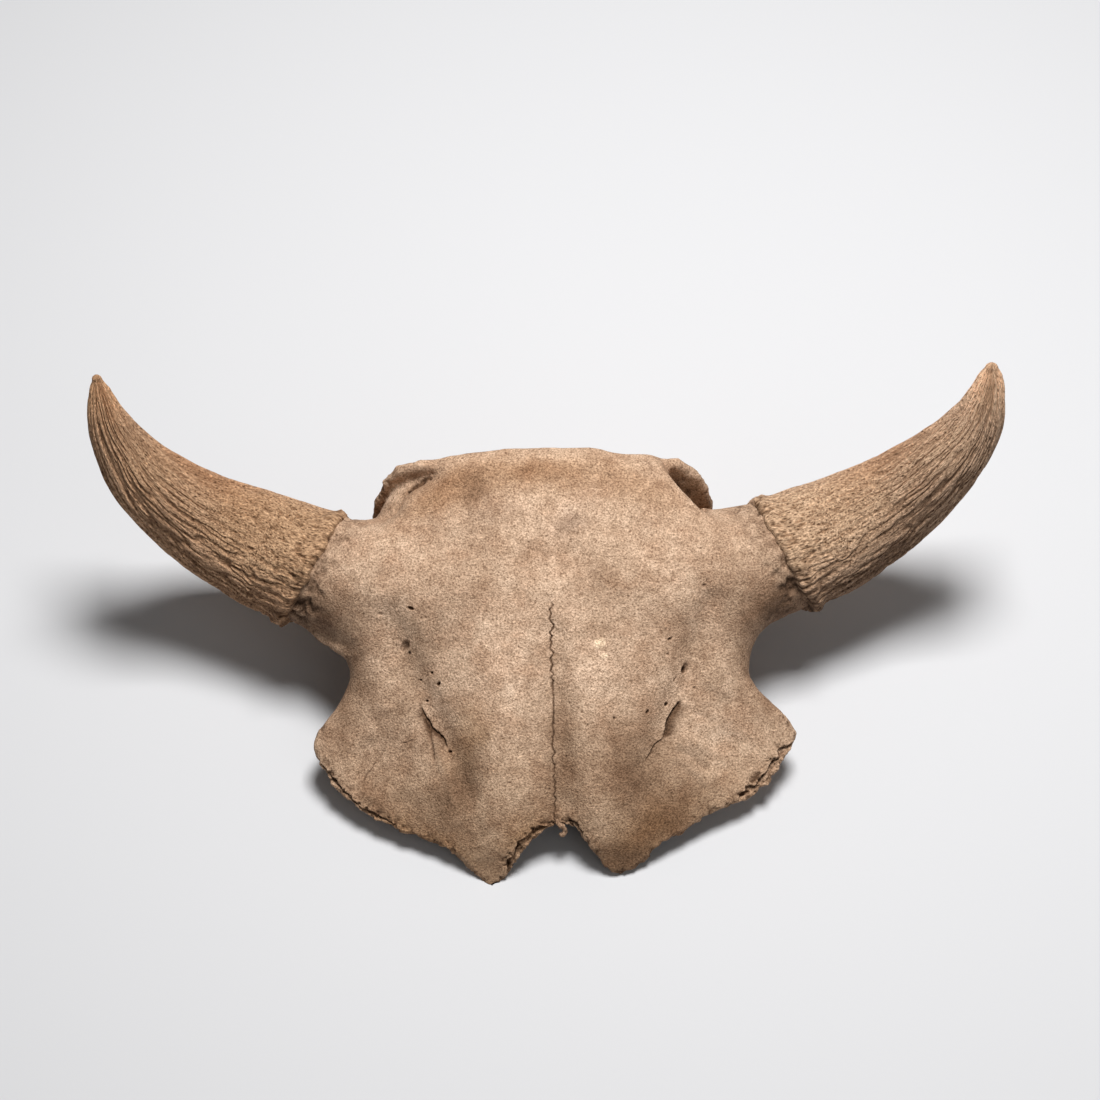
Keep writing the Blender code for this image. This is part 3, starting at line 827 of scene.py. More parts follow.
@dataclass(frozen=True)
class Relief:
    """What weather and growth left on the forehead, in the skull's axes. A few of the stains are
    painted shade: those under the horn stalks and at the eye-socket notches.
    """

    pits: tuple[Pit, ...] = (
        Pit(-101.4, -133.0, 5.4, 3.4, 2.3, 55, 0.30), Pit(-98.6, -137.5, 1.6, 1.0, 1.6, 75, 0.8),
        Pit(-82.3, -150.8, 1.3, 1.0, 2.2), Pit(-91.5, -155.8, 1.0, 0.8, 1.8),
        Pit(-77.7, -158.5, 2.0, 1.2, 2.8, 40), Pit(-87.8, -170.2, 1.2, 0.9, 2.0),
        Pit(-73.1, -204.9, 1.5, 1.0, 2.6), Pit(-94.7, -106.9, 2.8, 1.4, 2.2, -20, 0.9),
        Pit(-116.3, -110.6, 2.4, 1.8, 0.9, 0, 0.4), Pit(80.7, -132.9, 1.9, 0.9, 1.8, 30, 0.8),
        Pit(79.0, -143.1, 1.5, 1.0, 1.0, 0, 0.5), Pit(92.6, -153.4, 4.2, 2.6, 2.0, 75, 0.25),
        Pit(91.5, -154.5, 2.8, 1.9, 2.8, 75, 0.9), Pit(84.7, -160.7, 2.2, 0.7, 1.2, 55, 0.8),
        Pit(98.0, -166.5, 1.0, 0.8, 1.0, 0, 0.6), Pit(78.7, -177.5, 1.6, 1.5, 3.4),
        Pit(64.0, -181.9, 2.0, 1.2, 1.8, 60, 0.8), Pit(40.8, -185.4, 1.2, 0.9, 1.6, 60, 0.8),
        Pit(105.3, -97.4, 1.8, 1.2, 1.0, 0, 0.7), Pit(-12.6, -76.9, 17.0, 14.0, 1.3, 0, 0),
        Pit(14.5, -77.8, 16.0, 14.0, 1.3, 0, 0), Pit(-52.3, -26.6, 15.0, 11.0, 2.0, 40, 0),
        Pit(36.8, -22.6, 16.0, 11.0, 1.6, -30, 0), Pit(-8.0, -17.0, 12.0, 6.0, 0.9, 0, 0),
        Pit(-118.0, -212.0, 30.0, 22.0, 2.2, 40, 0), Pit(122.0, -212.0, 28.0, 20.0, 1.8, -40, 0),
        Pit(-45.0, -84.0, 34.0, 26.0, -1.4, 60, 0), Pit(48.0, -84.0, 34.0, 26.0, -1.4, -60, 0),
    )
    furrows: tuple[Furrow, ...] = (
        Furrow(((-93.4, -171.0), (-89.7, -178.2), (-86.4, -184.6), (-83.6, -189.8), (-77.0, -195.6),
                (-73.2, -204.5)),
               2.0, 0.50, drop=1.6, reach=4.5, lower_left=False, wander=0.8, dirt=0.9, fade=0.25),
        Furrow(((-91.0, -181.0), (-86.8, -190.0), (-84.0, -200.0), (-83.0, -213.0)),
               1.3, 1.0, dirt=0.45),
        Furrow(((-86.5, -192.0), (-80.5, -201.6), (-75.5, -216.4), (-69.0, -245.0)), -1.5, 3.4),
        Furrow(((89.8, -175.0), (84.0, -181.5), (79.8, -188.0), (78.6, -195.0), (75.4, -201.0)),
               3.0, 0.85, drop=2.0, reach=5.0, lower_left=True, wander=0.4, dirt=1.0, fade=0.2),
        Furrow(((78.0, -199.0), (70.0, -205.0), (62.0, -217.0)), 1.3, 0.42, drop=0.6, reach=4.0,
               lower_left=True, wander=0.4, dirt=0.8, fade=0.2),
        Furrow(((89.1, -178.4), (98.0, -184.1), (112.0, -191.8)), 1.0, 2.6, dirt=0.05),
        Furrow(((82.0, -207.0), (95.0, -214.0), (108.0, -224.0)), 1.3, 2.8, dirt=0.15),
        Furrow(((80.0, -217.0), (93.0, -226.0), (104.0, -238.0)), 1.2, 3.0, dirt=0.15),
        Furrow(((86.0, -198.0), (101.0, -206.0), (122.0, -220.0)), -0.9, 3.4),
        Furrow(((-98.0, -206.0), (-104.0, -222.0), (-108.0, -242.0)), 0.8, 3.0, dirt=0.15),
        Furrow(((-112.0, -186.0), (-124.0, -196.0), (-142.0, -206.0)), 0.7, 3.6, dirt=0.10),
        Furrow(((-116.4, -200.8), (-123.6, -209.8), (-134.9, -225.4)), 0.9, 0.34, wander=0.4, dirt=0.8),
        Furrow(((-106.5, -198.0), (-102.0, -197.6), (-96.0, -195.4)), 0.8, 0.34, wander=0.5, dirt=0.7),
        Furrow(((0.4, -49.7), (0.6, -80.0), (0.7, -106.7)), -0.6, 2.4),
        Furrow(((0.4, -49.7), (12.3, -39.6), (29.7, -29.5)), -0.5, 3.0),
        Furrow(((0.4, -49.7), (-12.0, -41.0), (-26.0, -33.0)), -0.4, 3.0),
        Furrow(((-79.0, -14.0), (-86.0, -18.5), (-97.0, -24.5)), 2.2, 1.5, wander=1.0, dirt=0.8),
        Furrow(((68.0, -6.0), (71.5, -11.0), (74.0, -17.0)), 0.8, 1.2, wander=0.8, dirt=0.5),
        Furrow(((0.5, -112.0), (1.2, -150.0), (3.5, -190.0), (5.0, -225.0), (3.5, -262.0)), 3.6, 9.0),
        Furrow(((-29.0, -140.0), (-32.0, -190.0), (-35.0, -235.0), (-43.0, -285.0)), -1.9, 15.0),
        Furrow(((24.0, -140.0), (27.0, -190.0), (28.0, -235.0), (37.0, -282.0)), -1.6, 11.0),
        Furrow(((-116.0, -96.0), (-104.0, -127.0), (-92.0, -160.0), (-80.0, -186.0), (-64.0, -222.0),
                (-58.0, -252.0)), 4.6, 11.0),
        Furrow(((116.0, -92.0), (103.0, -128.0), (92.0, -160.0), (76.0, -192.0), (63.0, -220.0),
                (66.0, -252.0)), 4.6, 11.0),
        Furrow(((-140.0, -112.0), (-127.0, -126.0), (-121.0, -150.0), (-112.0, -182.0)), -1.9, 9.0),
        Furrow(((140.0, -112.0), (127.0, -126.0), (122.0, -150.0), (110.0, -172.0)), -1.9, 9.0),
    )
    crusts: tuple[Pit, ...] = (Pit(32.9, -134.7, 4.4, 3.8, 0.7, 20), Pit(35.6, -143.3, 3.0, 2.0, 0.5))
    stains: tuple[Stain, ...] = (
        Stain(-113, -62, 26, 20, 0, 1.06), Stain(128, -82, 24, 24, 0, 0.84),
        Stain(88, -100, 24, 16, -60, 1.10), Stain(-30, -140, 40, 17, 85, 1.26),
        Stain(-40, -190, 34, 12, 80, 1.20), Stain(17, -112, 28, 11, 90, 1.14),
        Stain(30, -152, 30, 15, 70, 1.20), Stain(0, -86, 36, 5, 90, 1.14),
        Stain(-14, -40, 16, 5, -35, 1.22), Stain(16, -39, 18, 5, 35, 1.24),
        Stain(-35, -250, 26, 10, 75, 1.12), Stain(27, -252, 22, 6, -80, 1.12),
        Stain(116, -202, 30, 20, -30, 1.22), Stain(-8, -17, 38, 11, 0, 0.70, Hue.RUST),
        Stain(-48, -25, 13, 9, 40, 0.62), Stain(-42, -74, 26, 16, 80, 0.86),
        Stain(15, -51, 12, 9, 0, 0.70, Hue.GREY), Stain(-38, -44, 15, 10, 20, 0.90, Hue.GREY),
        Stain(38, -92, 24, 15, 60, 0.84), Stain(34, -122, 11, 7, 20, 0.86),
        Stain(3, -200, 40, 8, 88, 0.68), Stain(6, -222, 28, 13, 88, 0.84),
        Stain(-64, -224, 42, 15, 68, 0.54), Stain(-96, -146, 44, 11, 68, 0.76),
        Stain(96, -140, 40, 10, -66, 0.80), Stain(55, -226, 36, 19, -62, 0.50),
        # Painted shade: the two dark stains at x ±140 darken the eye-socket notches, where the brow
        # turns down.
        Stain(72, -205, 16, 9, -60, 0.82), Stain(-140, -152, 34, 14, 80, 0.50),
        Stain(139, -154, 34, 11, -75, 0.52), Stain(-108, -236, 32, 14, -15, 0.76),
        Stain(90, -246, 32, 13, 30, 0.70), Stain(-98, -262, 40, 9, -24, 0.84, Hue.OCHRE),
        Stain(46, -286, 24, 16, 0, 0.48), Stain(-47, -294, 18, 12, 0, 0.80),
        Stain(-24, -262, 18, 9, 40, 0.86, Hue.OCHRE), Stain(66, -262, 26, 12, 30, 0.82, Hue.OCHRE),
        Stain(-58, -196, 20, 10, 60, 0.90, Hue.OCHRE), Stain(-148, -206, 20, 12, 60, 0.90),
        Stain(120.7, -197.6, 3.4, 3.0, 0, 1.25), Stain(101, -188, 4, 3, 0, 1.12),
        # Painted shade: the two dark stains at x ±150 lie under the horn stalks.
        Stain(-150, -106, 18, 14, -30, 0.66), Stain(150, -110, 20, 16, 30, 0.50),
        Stain(60, -26, 34, 12, -25, 0.84, Hue.RUST), Stain(-72, -28, 32, 12, 30, 0.70, Hue.RUST),
    )
    seam_step: float = 6.6
    seam_swing: dict = field(default_factory=lambda: {Seam.TIGHT: 1.35, Seam.OPEN: 0.30})
    seam_deep: float = 2.0
    seam_wide: float = 0.44
    seam_drift: float = 0.9
    soil_full: float = 0.0011
    edge_warp: float = 0.0045
    edge_warp_size: float = 0.016
    crust_kept: Colour = (1.46, 1.58, 1.60)

    def seam(self, x: Array, y: Array) -> Array:
        """Depth of the zigzag seam: a bell across a triangle wave that wanders along the midline."""
        my = y / MM
        wobble = lattice_noise(np.column_stack([y * 0, y, y * 0]), 0.009, 21)
        phase = my / self.seam_step + 0.45 * wobble
        zigzag = 2 * np.abs(2 * (phase - np.floor(phase + 0.5))) - 1
        open_share = smooth_step(my, Seam.TIGHT.value[1] + 26, Seam.OPEN.value[0] - 4)
        swing = self.seam_swing[Seam.TIGHT] * (1 - open_share) + self.seam_swing[Seam.OPEN] * open_share
        drift = self.seam_drift * lattice_noise(np.column_stack([y * 0, y, y * 0]), 0.0032, 24)
        centre = 0.6 - 0.012 * (-106 - my) + swing * zigzag * (0.8 + 0.7 * wobble) + drift
        slanted = np.hypot(1.0, 4 * swing / self.seam_step)
        bell = np.exp(-(((x / MM - centre) / (self.seam_wide * slanted)) ** 2))
        start = smooth_step(my, Seam.TIGHT.value[0] + 4, Seam.TIGHT.value[0] - 8)
        varied = 0.75 + 0.30 * lattice_noise(np.column_stack([y, y * 0, y * 0]), 0.006, 22)
        return MM * self.seam_deep * start * varied * bell

    def marks(self, p: Array) -> tuple[Array, Array]:
        """All pits, furrows and the seam, less the raised crusts.

        Args:
            p: Points of the upper surface.

        Returns:
            How far each point is pushed in, and its share of dark soil from 0 to 1.
        """
        x, y = p[:, 0], p[:, 1]
        total = self.seam(x, y)
        soil = total / self.soil_full
        for mark in self.pits + self.furrows:
            depth = mark.depth(x, y)
            total = total + depth
            soil = soil + mark.dirt * depth / self.soil_full
        for mark in self.crusts:
            total = total - mark.depth(x, y) * (0.7 + 0.5 * lattice_noise(p, 0.0016, 23))
        return total, np.clip(soil, 0.0, 1.0)

    def near(self, p: Array, within: float = 0.0012) -> Array:
        """Whether a point is so near a narrow mark that its faces have to be small."""
        x, y = p[:, 0], p[:, 1]
        found = (np.abs(x) < 0.0036) & (y < Seam.TIGHT.value[0] * MM + 0.006)
        for mark in self.pits + self.crusts:
            if mark.long < 7:
                found |= np.hypot(x - mark.x * MM, y - mark.y * MM) < mark.long * MM + within
        for mark in self.furrows:
            if mark.wide < 2:
                found |= np.abs(line_distance(x, y, mark.line)[0]) < mark.wide * MM + within
        return found

    def tone(self, p: Array) -> Array:
        """Shares of red, green and blue kept by the stains and the pale crusts."""
        kept = np.ones((len(p), 3))
        x = p[:, 0] + self.edge_warp * layered_noise(p, self.edge_warp_size, 31)
        y = p[:, 1] + self.edge_warp * layered_noise(p, self.edge_warp_size, 32)
        for stain in self.stains:
            kept *= stain.kept(x, y)
        for mark in self.crusts:
            inside = smooth_step(mark.depth(p[:, 0], p[:, 1]), 0.0, 0.0003)[:, None]
            kept *= 1 + inside * (np.array(self.crust_kept) - 1)
        return kept


@dataclass
class Cranium:
    """The cranium's piece: field, sampling, refinement, relief and tones."""

    form: SkullForm = field(default_factory=SkullForm)
    relief: Relief = field(default_factory=Relief)
    low: Place = (-0.222, -0.312, -0.176)
    high: Place = (0.222, 0.030, 0.030)
    spacing: float = 0.0050
    block: int = 4
    seen_from: Place = (0.0, -0.087, 0.996)
    sponge_size: float = 0.0026
    sponge_depth: float = 0.0016
    crumb_size: float = 0.0034
    crumb_depth: float = 0.0017
    worn_reach: float = 0.005
    corner_place: float = 0.0007
    corner_half: float = 0.0009
    corner_depth: float = 0.0008
    swell_sizes: Place = (0.024, 0.0065, 0.0023)
    swell_heights: Place = (0.00045, 0.00020, 0.00010)
    hidden_pore_size: float = 0.0034
    hidden_depths: Place = (0.0016, 0.0006, 0.0007)
    burr_place: Span = (0.158, -0.076)
    burr_way: Span = (0.875, 0.483)
    crevice_size: float = 0.0050
    crevice_depths: Span = (0.0018, 0.0014)
    rough_full: float = 0.0026
    crevice_full: float = 0.0034
    soil_takes: Colour = (0.74, 0.79, 0.83)
    # Taken by the darkening beside each burr: soil there, and painted shade under the stalk.
    soil_and_painted_shade_takes: Colour = (0.62, 0.68, 0.73)
    front_takes: Colour = (0.15, 0.19, 0.25)

    def sample(self) -> Array:
        """The field on a regular grid. Blocks well clear of the surface keep one value each."""
        counts = [math.ceil((b - a) / self.spacing / self.block) for a, b in zip(self.low, self.high)]
        blocks = np.stack(np.meshgrid(*map(np.arange, counts), indexing="ij"), -1).reshape(-1, 3)
        middle = np.array(self.low) + ((blocks + 0.5) * self.block - 0.5) * self.spacing
        far = self.form.distance(middle)
        near = np.abs(far) < 1.3 * self.block * self.spacing
        inner = np.stack(np.meshgrid(*[np.arange(self.block)] * 3, indexing="ij"), -1).reshape(-1, 3)
        values = np.zeros([n * self.block for n in counts])
        for chosen in (near, ~near):
            cell = (blocks[chosen][:, None] * self.block + inner).reshape(-1, 3)
            if chosen is near:
                found = self.form.distance(np.array(self.low) + cell * self.spacing)
            else:
                found = np.repeat(far[chosen], len(inner))
            values[tuple(cell.T)] = found
        return fill_pinches(values, 0.05 * self.spacing)

    def shell(self) -> tuple[Object, Array, Array]:
        """The smooth closed surface, finer where the picture looks at it and finest at marks.

        Returns:
            The object, its points and its outward normals, both in the skull's axes.
        """
        points, quads = surface_of(self.sample(), np.array(self.low), self.spacing)
        points, _ = self.form.settle(points)
        thing = mesh_object("cranium", points, quads.tolist())
        mesh = thing.data
        for pick, cuts in ((self.faces_seen, 2), (self.faces_marked, 2)):
            refine(mesh, pick(mesh), cuts)
            points, normals = self.form.settle(points_of(mesh))
            mesh.vertices.foreach_set("co", points.astype(np.float32).ravel())
            mesh.update()
        return thing, points, normals

    def faces_seen(self, mesh: Mesh) -> Array:
        """Faces that turn to the picture's camera."""
        _, normal = face_facts(mesh)
        return normal @ np.array(self.seen_from) > 0.25

    def faces_marked(self, mesh: Mesh) -> Array:
        """Upper faces beside the seam, the cracks and the small pits."""
        centre, normal = face_facts(mesh)
        forehead = self.form.forehead
        edge = forehead.edge(centre[:, 0], centre[:, 1])
        step = sum(rim.step(centre[:, 0], centre[:, 1]) for rim in forehead.broken)
        rim = (step > 0.0008) & (edge > -1.5 * step - 0.001)
        return ((normal[:, 2] > 0.5) & self.relief.near(centre)) | ((normal[:, 2] > 0.0) & rim)

    def rims(self, p: Array, normals: Array) -> tuple[Array, Array]:
        """Broken rims: knobbly spongy bone in the edge's thickness, dark under the upper layer.

        Args:
            p: Points on the smooth surface.
            normals: Outward normals there.

        Returns:
            How far each point is pushed in, and its share of dark soil.
        """
        forehead = self.form.forehead
        edge = forehead.edge(p[:, 0], p[:, 1]) + forehead.chips(p)
        step = forehead.steps(p)
        front = smooth_step(p[:, 1], -0.175, -0.19)
        side = smooth_step(np.abs(normals[:, 2]), 0.80, 0.35) * smooth_step(edge, -0.010, -0.004)
        bared = smooth_step(edge + step, -0.0004, 0.0005) * smooth_step(step, 0.0006, 0.0016)
        bared = bared * smooth_step(normals[:, 2], 0.40, 0.75)
        sponge = smooth_step(lattice_noise(p, self.sponge_size, 45), -0.3, 0.7)
        worn = np.exp(-((np.minimum(edge + step, 0.0) / self.worn_reach) ** 2))
        worn = worn * smooth_step(normals[:, 2], 0.3, 0.7)
        crumbs = worn * smooth_step(layered_noise(p, self.crumb_size, 46), 0.0, 0.7) * (1 - bared)
        corner = np.exp(-(((edge + step - self.corner_place) / self.corner_half) ** 2)) * bared
        spongy = np.maximum(side, bared) * sponge
        depth = forehead.layer_thick * bared + self.corner_depth * corner
        depth = depth + self.sponge_depth * spongy + self.crumb_depth * crumbs
        soil = 0.85 * corner + 0.7 * spongy + 0.95 * crumbs
        return front * depth, front * np.clip(soil, 0, 1)

    def weathering(self, p: Array, normals: Array) -> Array:
        """Uneven growth and worn grain: noises of several sizes, as a height."""
        upper = smooth_step(normals[:, 2], 0.0, 0.5)
        broad, lumps, grain = self.swell_heights
        total = broad * layered_noise(p, self.swell_sizes[0], 51)
        total = total + lumps * layered_noise(p, self.swell_sizes[1], 52)
        return total + grain * lattice_noise(p, self.swell_sizes[2], 53) * (0.6 + 0.6 * upper)

    def hidden_bone(self, p: Array, normals: Array) -> Array:
        """Rough, porous bone in the temple slot, on the flanges' inner faces and underneath."""
        flange = smooth_step(np.abs(p[:, 0]), 0.076, 0.084) * smooth_step(p[:, 1], -0.050, -0.040)
        below = smooth_step(self.form.forehead.height(p[:, 0], p[:, 1]) - p[:, 2], 0.004, 0.008)
        under = smooth_step(normals[:, 2], 0.1, -0.5)
        inner = smooth_step(normals[:, 1], 0.1, -0.4)
        pores = smooth_step(lattice_noise(p, self.hidden_pore_size, 55), 0.20, 0.75)
        coarse = layered_noise(p, 0.009, 56)
        deep, uneven, below_deep = self.hidden_depths
        return flange * below * inner * (deep * pores + uneven * coarse) + under * below_deep * pores

    def past_burr(self, p: Array) -> Array:
        """Distance along the stalk past the burr's middle, negative on the skull's side."""
        (x, y), (across, back) = self.burr_place, self.burr_way
        return (np.abs(p[:, 0]) - x) * across + (p[:, 1] - y) * back

    def burr_crevices(self, p: Array) -> Array:
        """Ragged hollows on the stalk just inside each burr, deepest on the front side."""
        zone = smooth_step(self.past_burr(p), -0.020, -0.004)
        front = smooth_step(p[:, 1], -0.070, -0.100)
        rough = smooth_step(layered_noise(p, self.crevice_size, 58), -0.4, 0.9)
        return zone * rough * (self.crevice_depths[0] + self.crevice_depths[1] * front)

    def burr_soil_and_painted_shade(self, p: Array, normals: Array) -> Array:
        """Darkening beside each burr: soil in the rough bone in a narrow band above, and painted shade
        over the whole stalk below, strongest on the side that faces the nose.
        """
        facing = smooth_step(-normals[:, 1], 0.15, 0.85)
        band = np.clip((self.past_burr(p) + 0.014 + 0.032 * facing) / 0.012, 0.0, 1.0)
        grain = 0.75 + 0.35 * layered_noise(p, 0.0034, 59)
        stalk = smooth_step(np.abs(p[:, 0]), 0.112, 0.128) * smooth_step(p[:, 1], -0.142, -0.126)
        return np.clip(stalk * band * grain * (0.42 + 0.48 * facing), 0, 1)

    def build(self) -> Object:
        """Makes the piece: the shell pushed in by its relief, tinted, and worn flat at the floor.

        Returns:
            The finished object in the row's axes.
        """
        thing, points, normals = self.shell()
        upper = smooth_step(normals[:, 2], 0.15, 0.45)
        marks, soil = self.relief.marks(points)
        rims, rim_soil = self.rims(points, normals)
        rough = self.hidden_bone(points, normals)
        burr = self.burr_crevices(points)
        shade = self.burr_soil_and_painted_shade(points, normals)
        depth = marks * upper + rims + rough + burr - self.weathering(points, normals)
        moved = LIE.to_floor(points - depth[:, None] * normals)
        moved[:, 2] = np.maximum(moved[:, 2], 0.0)
        thing.data.vertices.foreach_set("co", moved.astype(np.float32).ravel())
        thing.data.update()
        dirt = soil * upper + rim_soil + rough / self.rough_full + burr / self.crevice_full
        front = smooth_step(points[:, 1], -0.150, -0.290)
        tint = self.relief.tone(points) * (1 - np.outer(np.clip(dirt, 0, 1), self.soil_takes))
        # The burr darkening is part soil and part painted shade under the stalks.
        tint *= (1 - np.outer(shade, self.soil_and_painted_shade_takes)) * (1 - np.outer(front, self.front_takes))
        store(thing.data, "tint", "FLOAT_COLOR", tint)
        return thing


# The horn cores


@dataclass(frozen=True)
class HornCore:
    """A bony horn core: a round profile carried along its path from the burr to the tip.

    Rows are x, y, z and radius in the skull's axes, drawn for the right side and mirrored for the
    left. The rings lie square to the path; near the burr they lean so that the burr's line slants.
    """

    name: str
    rows: Rows
    mirror: bool
    seed: int
    rings: int = 178
    spokes: int = 550
    lip_height: float = 0.0026
    lip_half: float = 0.0050
    lean_across: float = 0.0065
    lean_both: float = 0.0060
    lean_reach: float = 0.070
    flow_radius: float = 0.034
    crowding: float = 1.15
    warp: float = 0.0017
    warp_size: float = 0.030
    groove_cell: Place = (0.0034, 0.0034, 0.042)
    fine_cell: Place = (0.0014, 0.0014, 0.014)
    pore_cell: Place = (0.0015, 0.0015, 0.0029)
    groove_depth: float = 0.0017
    pore_depth: float = 0.0013
    swell: float = 0.0005
    tip_wear: float = 0.0004
    ragged: float = 0.0016
    whole_kept: Colour = (1.0, 1.0, 1.0)
    # Painted shade: the front side, which turns down, is kept darker.
    front_shade_kept: Colour = (0.76, 0.73, 0.71)
    tip_kept: Colour = (1.0, 0.95, 0.88)
    soil_takes: Colour = (0.50, 0.54, 0.58)
    # Painted shade on the upper side, toning down the key light there.
    top_shade_takes: Colour = (0.14, 0.15, 0.20)
    rust_takes: Colour = (0.06, 0.16, 0.24)
    groove_takes: Colour = (0.50, 0.56, 0.61)
    ridge_kept: float = 1.11

    def path(self) -> tuple[Array, Array, Array, Array]:
        """Centres, radii, tangents and distances from the burr, at even steps along the path."""
        fine = smooth_path(self.rows, 1500)
        run = np.concatenate([[0.0], np.cumsum(np.linalg.norm(np.diff(fine[:, :3], axis=0), axis=1))])
        tip = run[-1] + fine[-1, 3]
        at = tip * (1 - (1 - np.linspace(0.0, 1.0, self.rings)) ** self.crowding)
        at = np.minimum(at, tip - 0.00003)
        row = np.stack([np.interp(np.minimum(at, run[-1]), run, fine[:, k]) for k in range(4)], 1)
        tangent = np.gradient(fine[:, :3], run, axis=0)
        tangent = np.stack([np.interp(np.minimum(at, run[-1]), run, tangent[:, k]) for k in range(3)], 1)
        tangent /= np.linalg.norm(tangent, axis=1)[:, None]
        past = np.maximum(at - run[-1], 0.0)
        radius = np.where(past > 0, np.sqrt(np.maximum(fine[-1, 3] ** 2 - past**2, 0.0)), row[:, 3])
        return row[:, :3] + past[:, None] * tangent, radius, tangent, at

    def grooves(self, flow: Array, along: Array) -> tuple[Array, Array]:
        """Lengthwise grooves: narrow valleys where a stretched noise passes through zero.

        Args:
            flow: Places round and along the core, at one radius from burr to tip.
            along: Distance from the burr.

        Returns:
            Groove strength and pore strength, each from 0 to 1.
        """
        sway = [layered_noise(flow, self.warp_size, self.seed + k) for k in range(2)]
        bent = flow + self.warp * np.column_stack([*sway, along * 0])
        wide = lattice_noise(bent, np.array(self.groove_cell), self.seed + 2)
        fine = lattice_noise(bent, np.array(self.fine_cell), self.seed + 3)
        valley = np.exp(-((wide / 0.18) ** 2)) + 0.65 * smooth_step(fine, 0.0, 0.55)
        pore = lattice_noise(bent, np.array(self.pore_cell), self.seed + 4)
        near_burr = smooth_step(along, 0.160, 0.0)
        return np.clip(valley, 0, 1), smooth_step(pore, 0.12, 0.60) * (0.20 + 0.80 * near_burr)

    def build(self) -> Object:
        """Makes the piece: rings along the path, a ragged lip at the burr, grooves and pores.

        Returns:
            The finished object in the row's axes.
        """
        centre, radius, tangent, along = self.path()
        across = np.array([0.0, 1.0, -1.0]) / math.sqrt(2)
        first = across - (tangent @ across)[:, None] * tangent
        normal = directions_round(tangent, first, self.spokes)
        angle = np.linspace(0.0, 2 * math.pi, self.spokes, endpoint=False)
        round_it = self.flow_radius * np.column_stack([np.cos(angle), np.sin(angle)])
        s = np.repeat(along, self.spokes)
        flow = np.column_stack([np.tile(round_it, (self.rings, 1)), s])
        base = np.repeat(centre, self.spokes, axis=0)
        way = np.repeat(tangent, self.spokes, axis=0)
        whole = np.repeat(radius, self.spokes)
        groove, pore = self.grooves(flow, s)
        front = smooth_step(-normal[:, 1], -0.3, 0.8)
        size = whole / radius.max()
        taper = np.minimum(1.0, size * 5.0)
        ribbed = np.maximum(front, 0.75 * smooth_step(s, 0.0, 0.120))
        groove = groove * (0.25 + 0.75 * ribbed)
        pore = pore * (1 - 0.55 * ribbed)
        depth = taper * groove * self.groove_depth + taper * pore * self.pore_depth
        swell = self.swell * layered_noise(flow, 0.030, self.seed + 7) * taper
        wear = self.tip_wear * layered_noise(base + whole[:, None] * normal, 0.0060, self.seed + 9)
        wear = wear * smooth_step(size, 0.34, 0.12) * np.minimum(1.0, size * 12)
        reach = whole + self.lip(flow, front) + swell - depth + wear
        lean = self.lean_both * normal[:, 1] ** 2 - self.lean_across * normal[:, 1]
        lean = lean * smooth_step(s, self.lean_reach, 0.0)
        ragged = self.ragged * layered_noise(flow * [1, 1, 0], 0.008, self.seed + 8)
        lean = lean + ragged * smooth_step(s, 0.02, 0.0)
        points = base + reach[:, None] * normal + lean[:, None] * way
        foot, tip = centre[0] - 0.004 * tangent[0], centre[-1] + 0.2 * radius[-1] * tangent[-1]
        points = np.vstack([points, foot, tip])
        if self.mirror:
            points = points * np.array([-1.0, 1.0, 1.0])
        faces = ring_faces(self.rings, self.spokes, self.mirror)
        thing = mesh_object(self.name, LIE.to_floor(points), faces)
        rough = smooth_step(layered_noise(flow, 0.0055, self.seed + 10), -0.1, 0.7)
        soiled = (rough * smooth_step(s, 0.018, 0.003))[:, None]
        tint = self.tone(normal, s / s.max(), groove, pore) * (1 - soiled * np.array(self.soil_takes))
        store(thing.data, "tint", "FLOAT_COLOR", np.vstack([tint, tint[0], tint[-1]]))
        store(thing.data, "flow", "FLOAT_VECTOR", np.vstack([flow, flow[0], flow[-1]]))
        return thing

    def lip(self, flow: Array, front: Array) -> Array:
        """Height of the burr's lip: a bell along the core at an uneven distance from its base."""
        middle = 0.0045 + 0.003 * lattice_noise(flow, 0.007, self.seed + 5)
        bell = np.exp(-(((flow[:, 2] - middle) / self.lip_half) ** 2))
        bell = bell * (1 + 0.45 * layered_noise(flow, 0.009, self.seed + 6))
        return np.clip(bell, 0.0, 1.15) * self.lip_height * (1.1 + 0.2 * front)

    def tone(self, normal: Array, share: Array, groove: Array, pore: Array) -> Array:
        """Shares of red, green and blue kept, from burr to tip, by side and by groove.

        The front side is painted darker as shade, most near the burr, and the upper side that faces the
        key light is painted a little darker to tone that light down.
        """
        # Painted shade: front is the front side, darkest near the burr; top faces the key light.
        front = smooth_step(-normal[:, 1], 0.25, 1.0) * (1 - 0.38 * smooth_step(share, 0.20, 0.60))
        top = smooth_step(normal[:, 2] + 0.4 * normal[:, 1], 0.3, 1.0)
        rusty = np.exp(-(((share - 0.50) / 0.22) ** 2)) * smooth_step(normal[:, 1], -0.2, 0.7)
        tip = smooth_step(share, 0.80, 0.97)
        dark = np.clip(0.80 * groove + 0.95 * pore, 0, 1)
        kept = np.array(self.whole_kept) * (self.ridge_kept - np.outer(dark, self.groove_takes))
        kept *= (1 - np.outer(rusty, self.rust_takes)) * (1 - np.outer(top, self.top_shade_takes))
        kept *= 1 + np.outer(front, np.array(self.front_shade_kept) - 1)
        return kept * (1 + np.outer(tip, np.array(self.tip_kept) - 1))


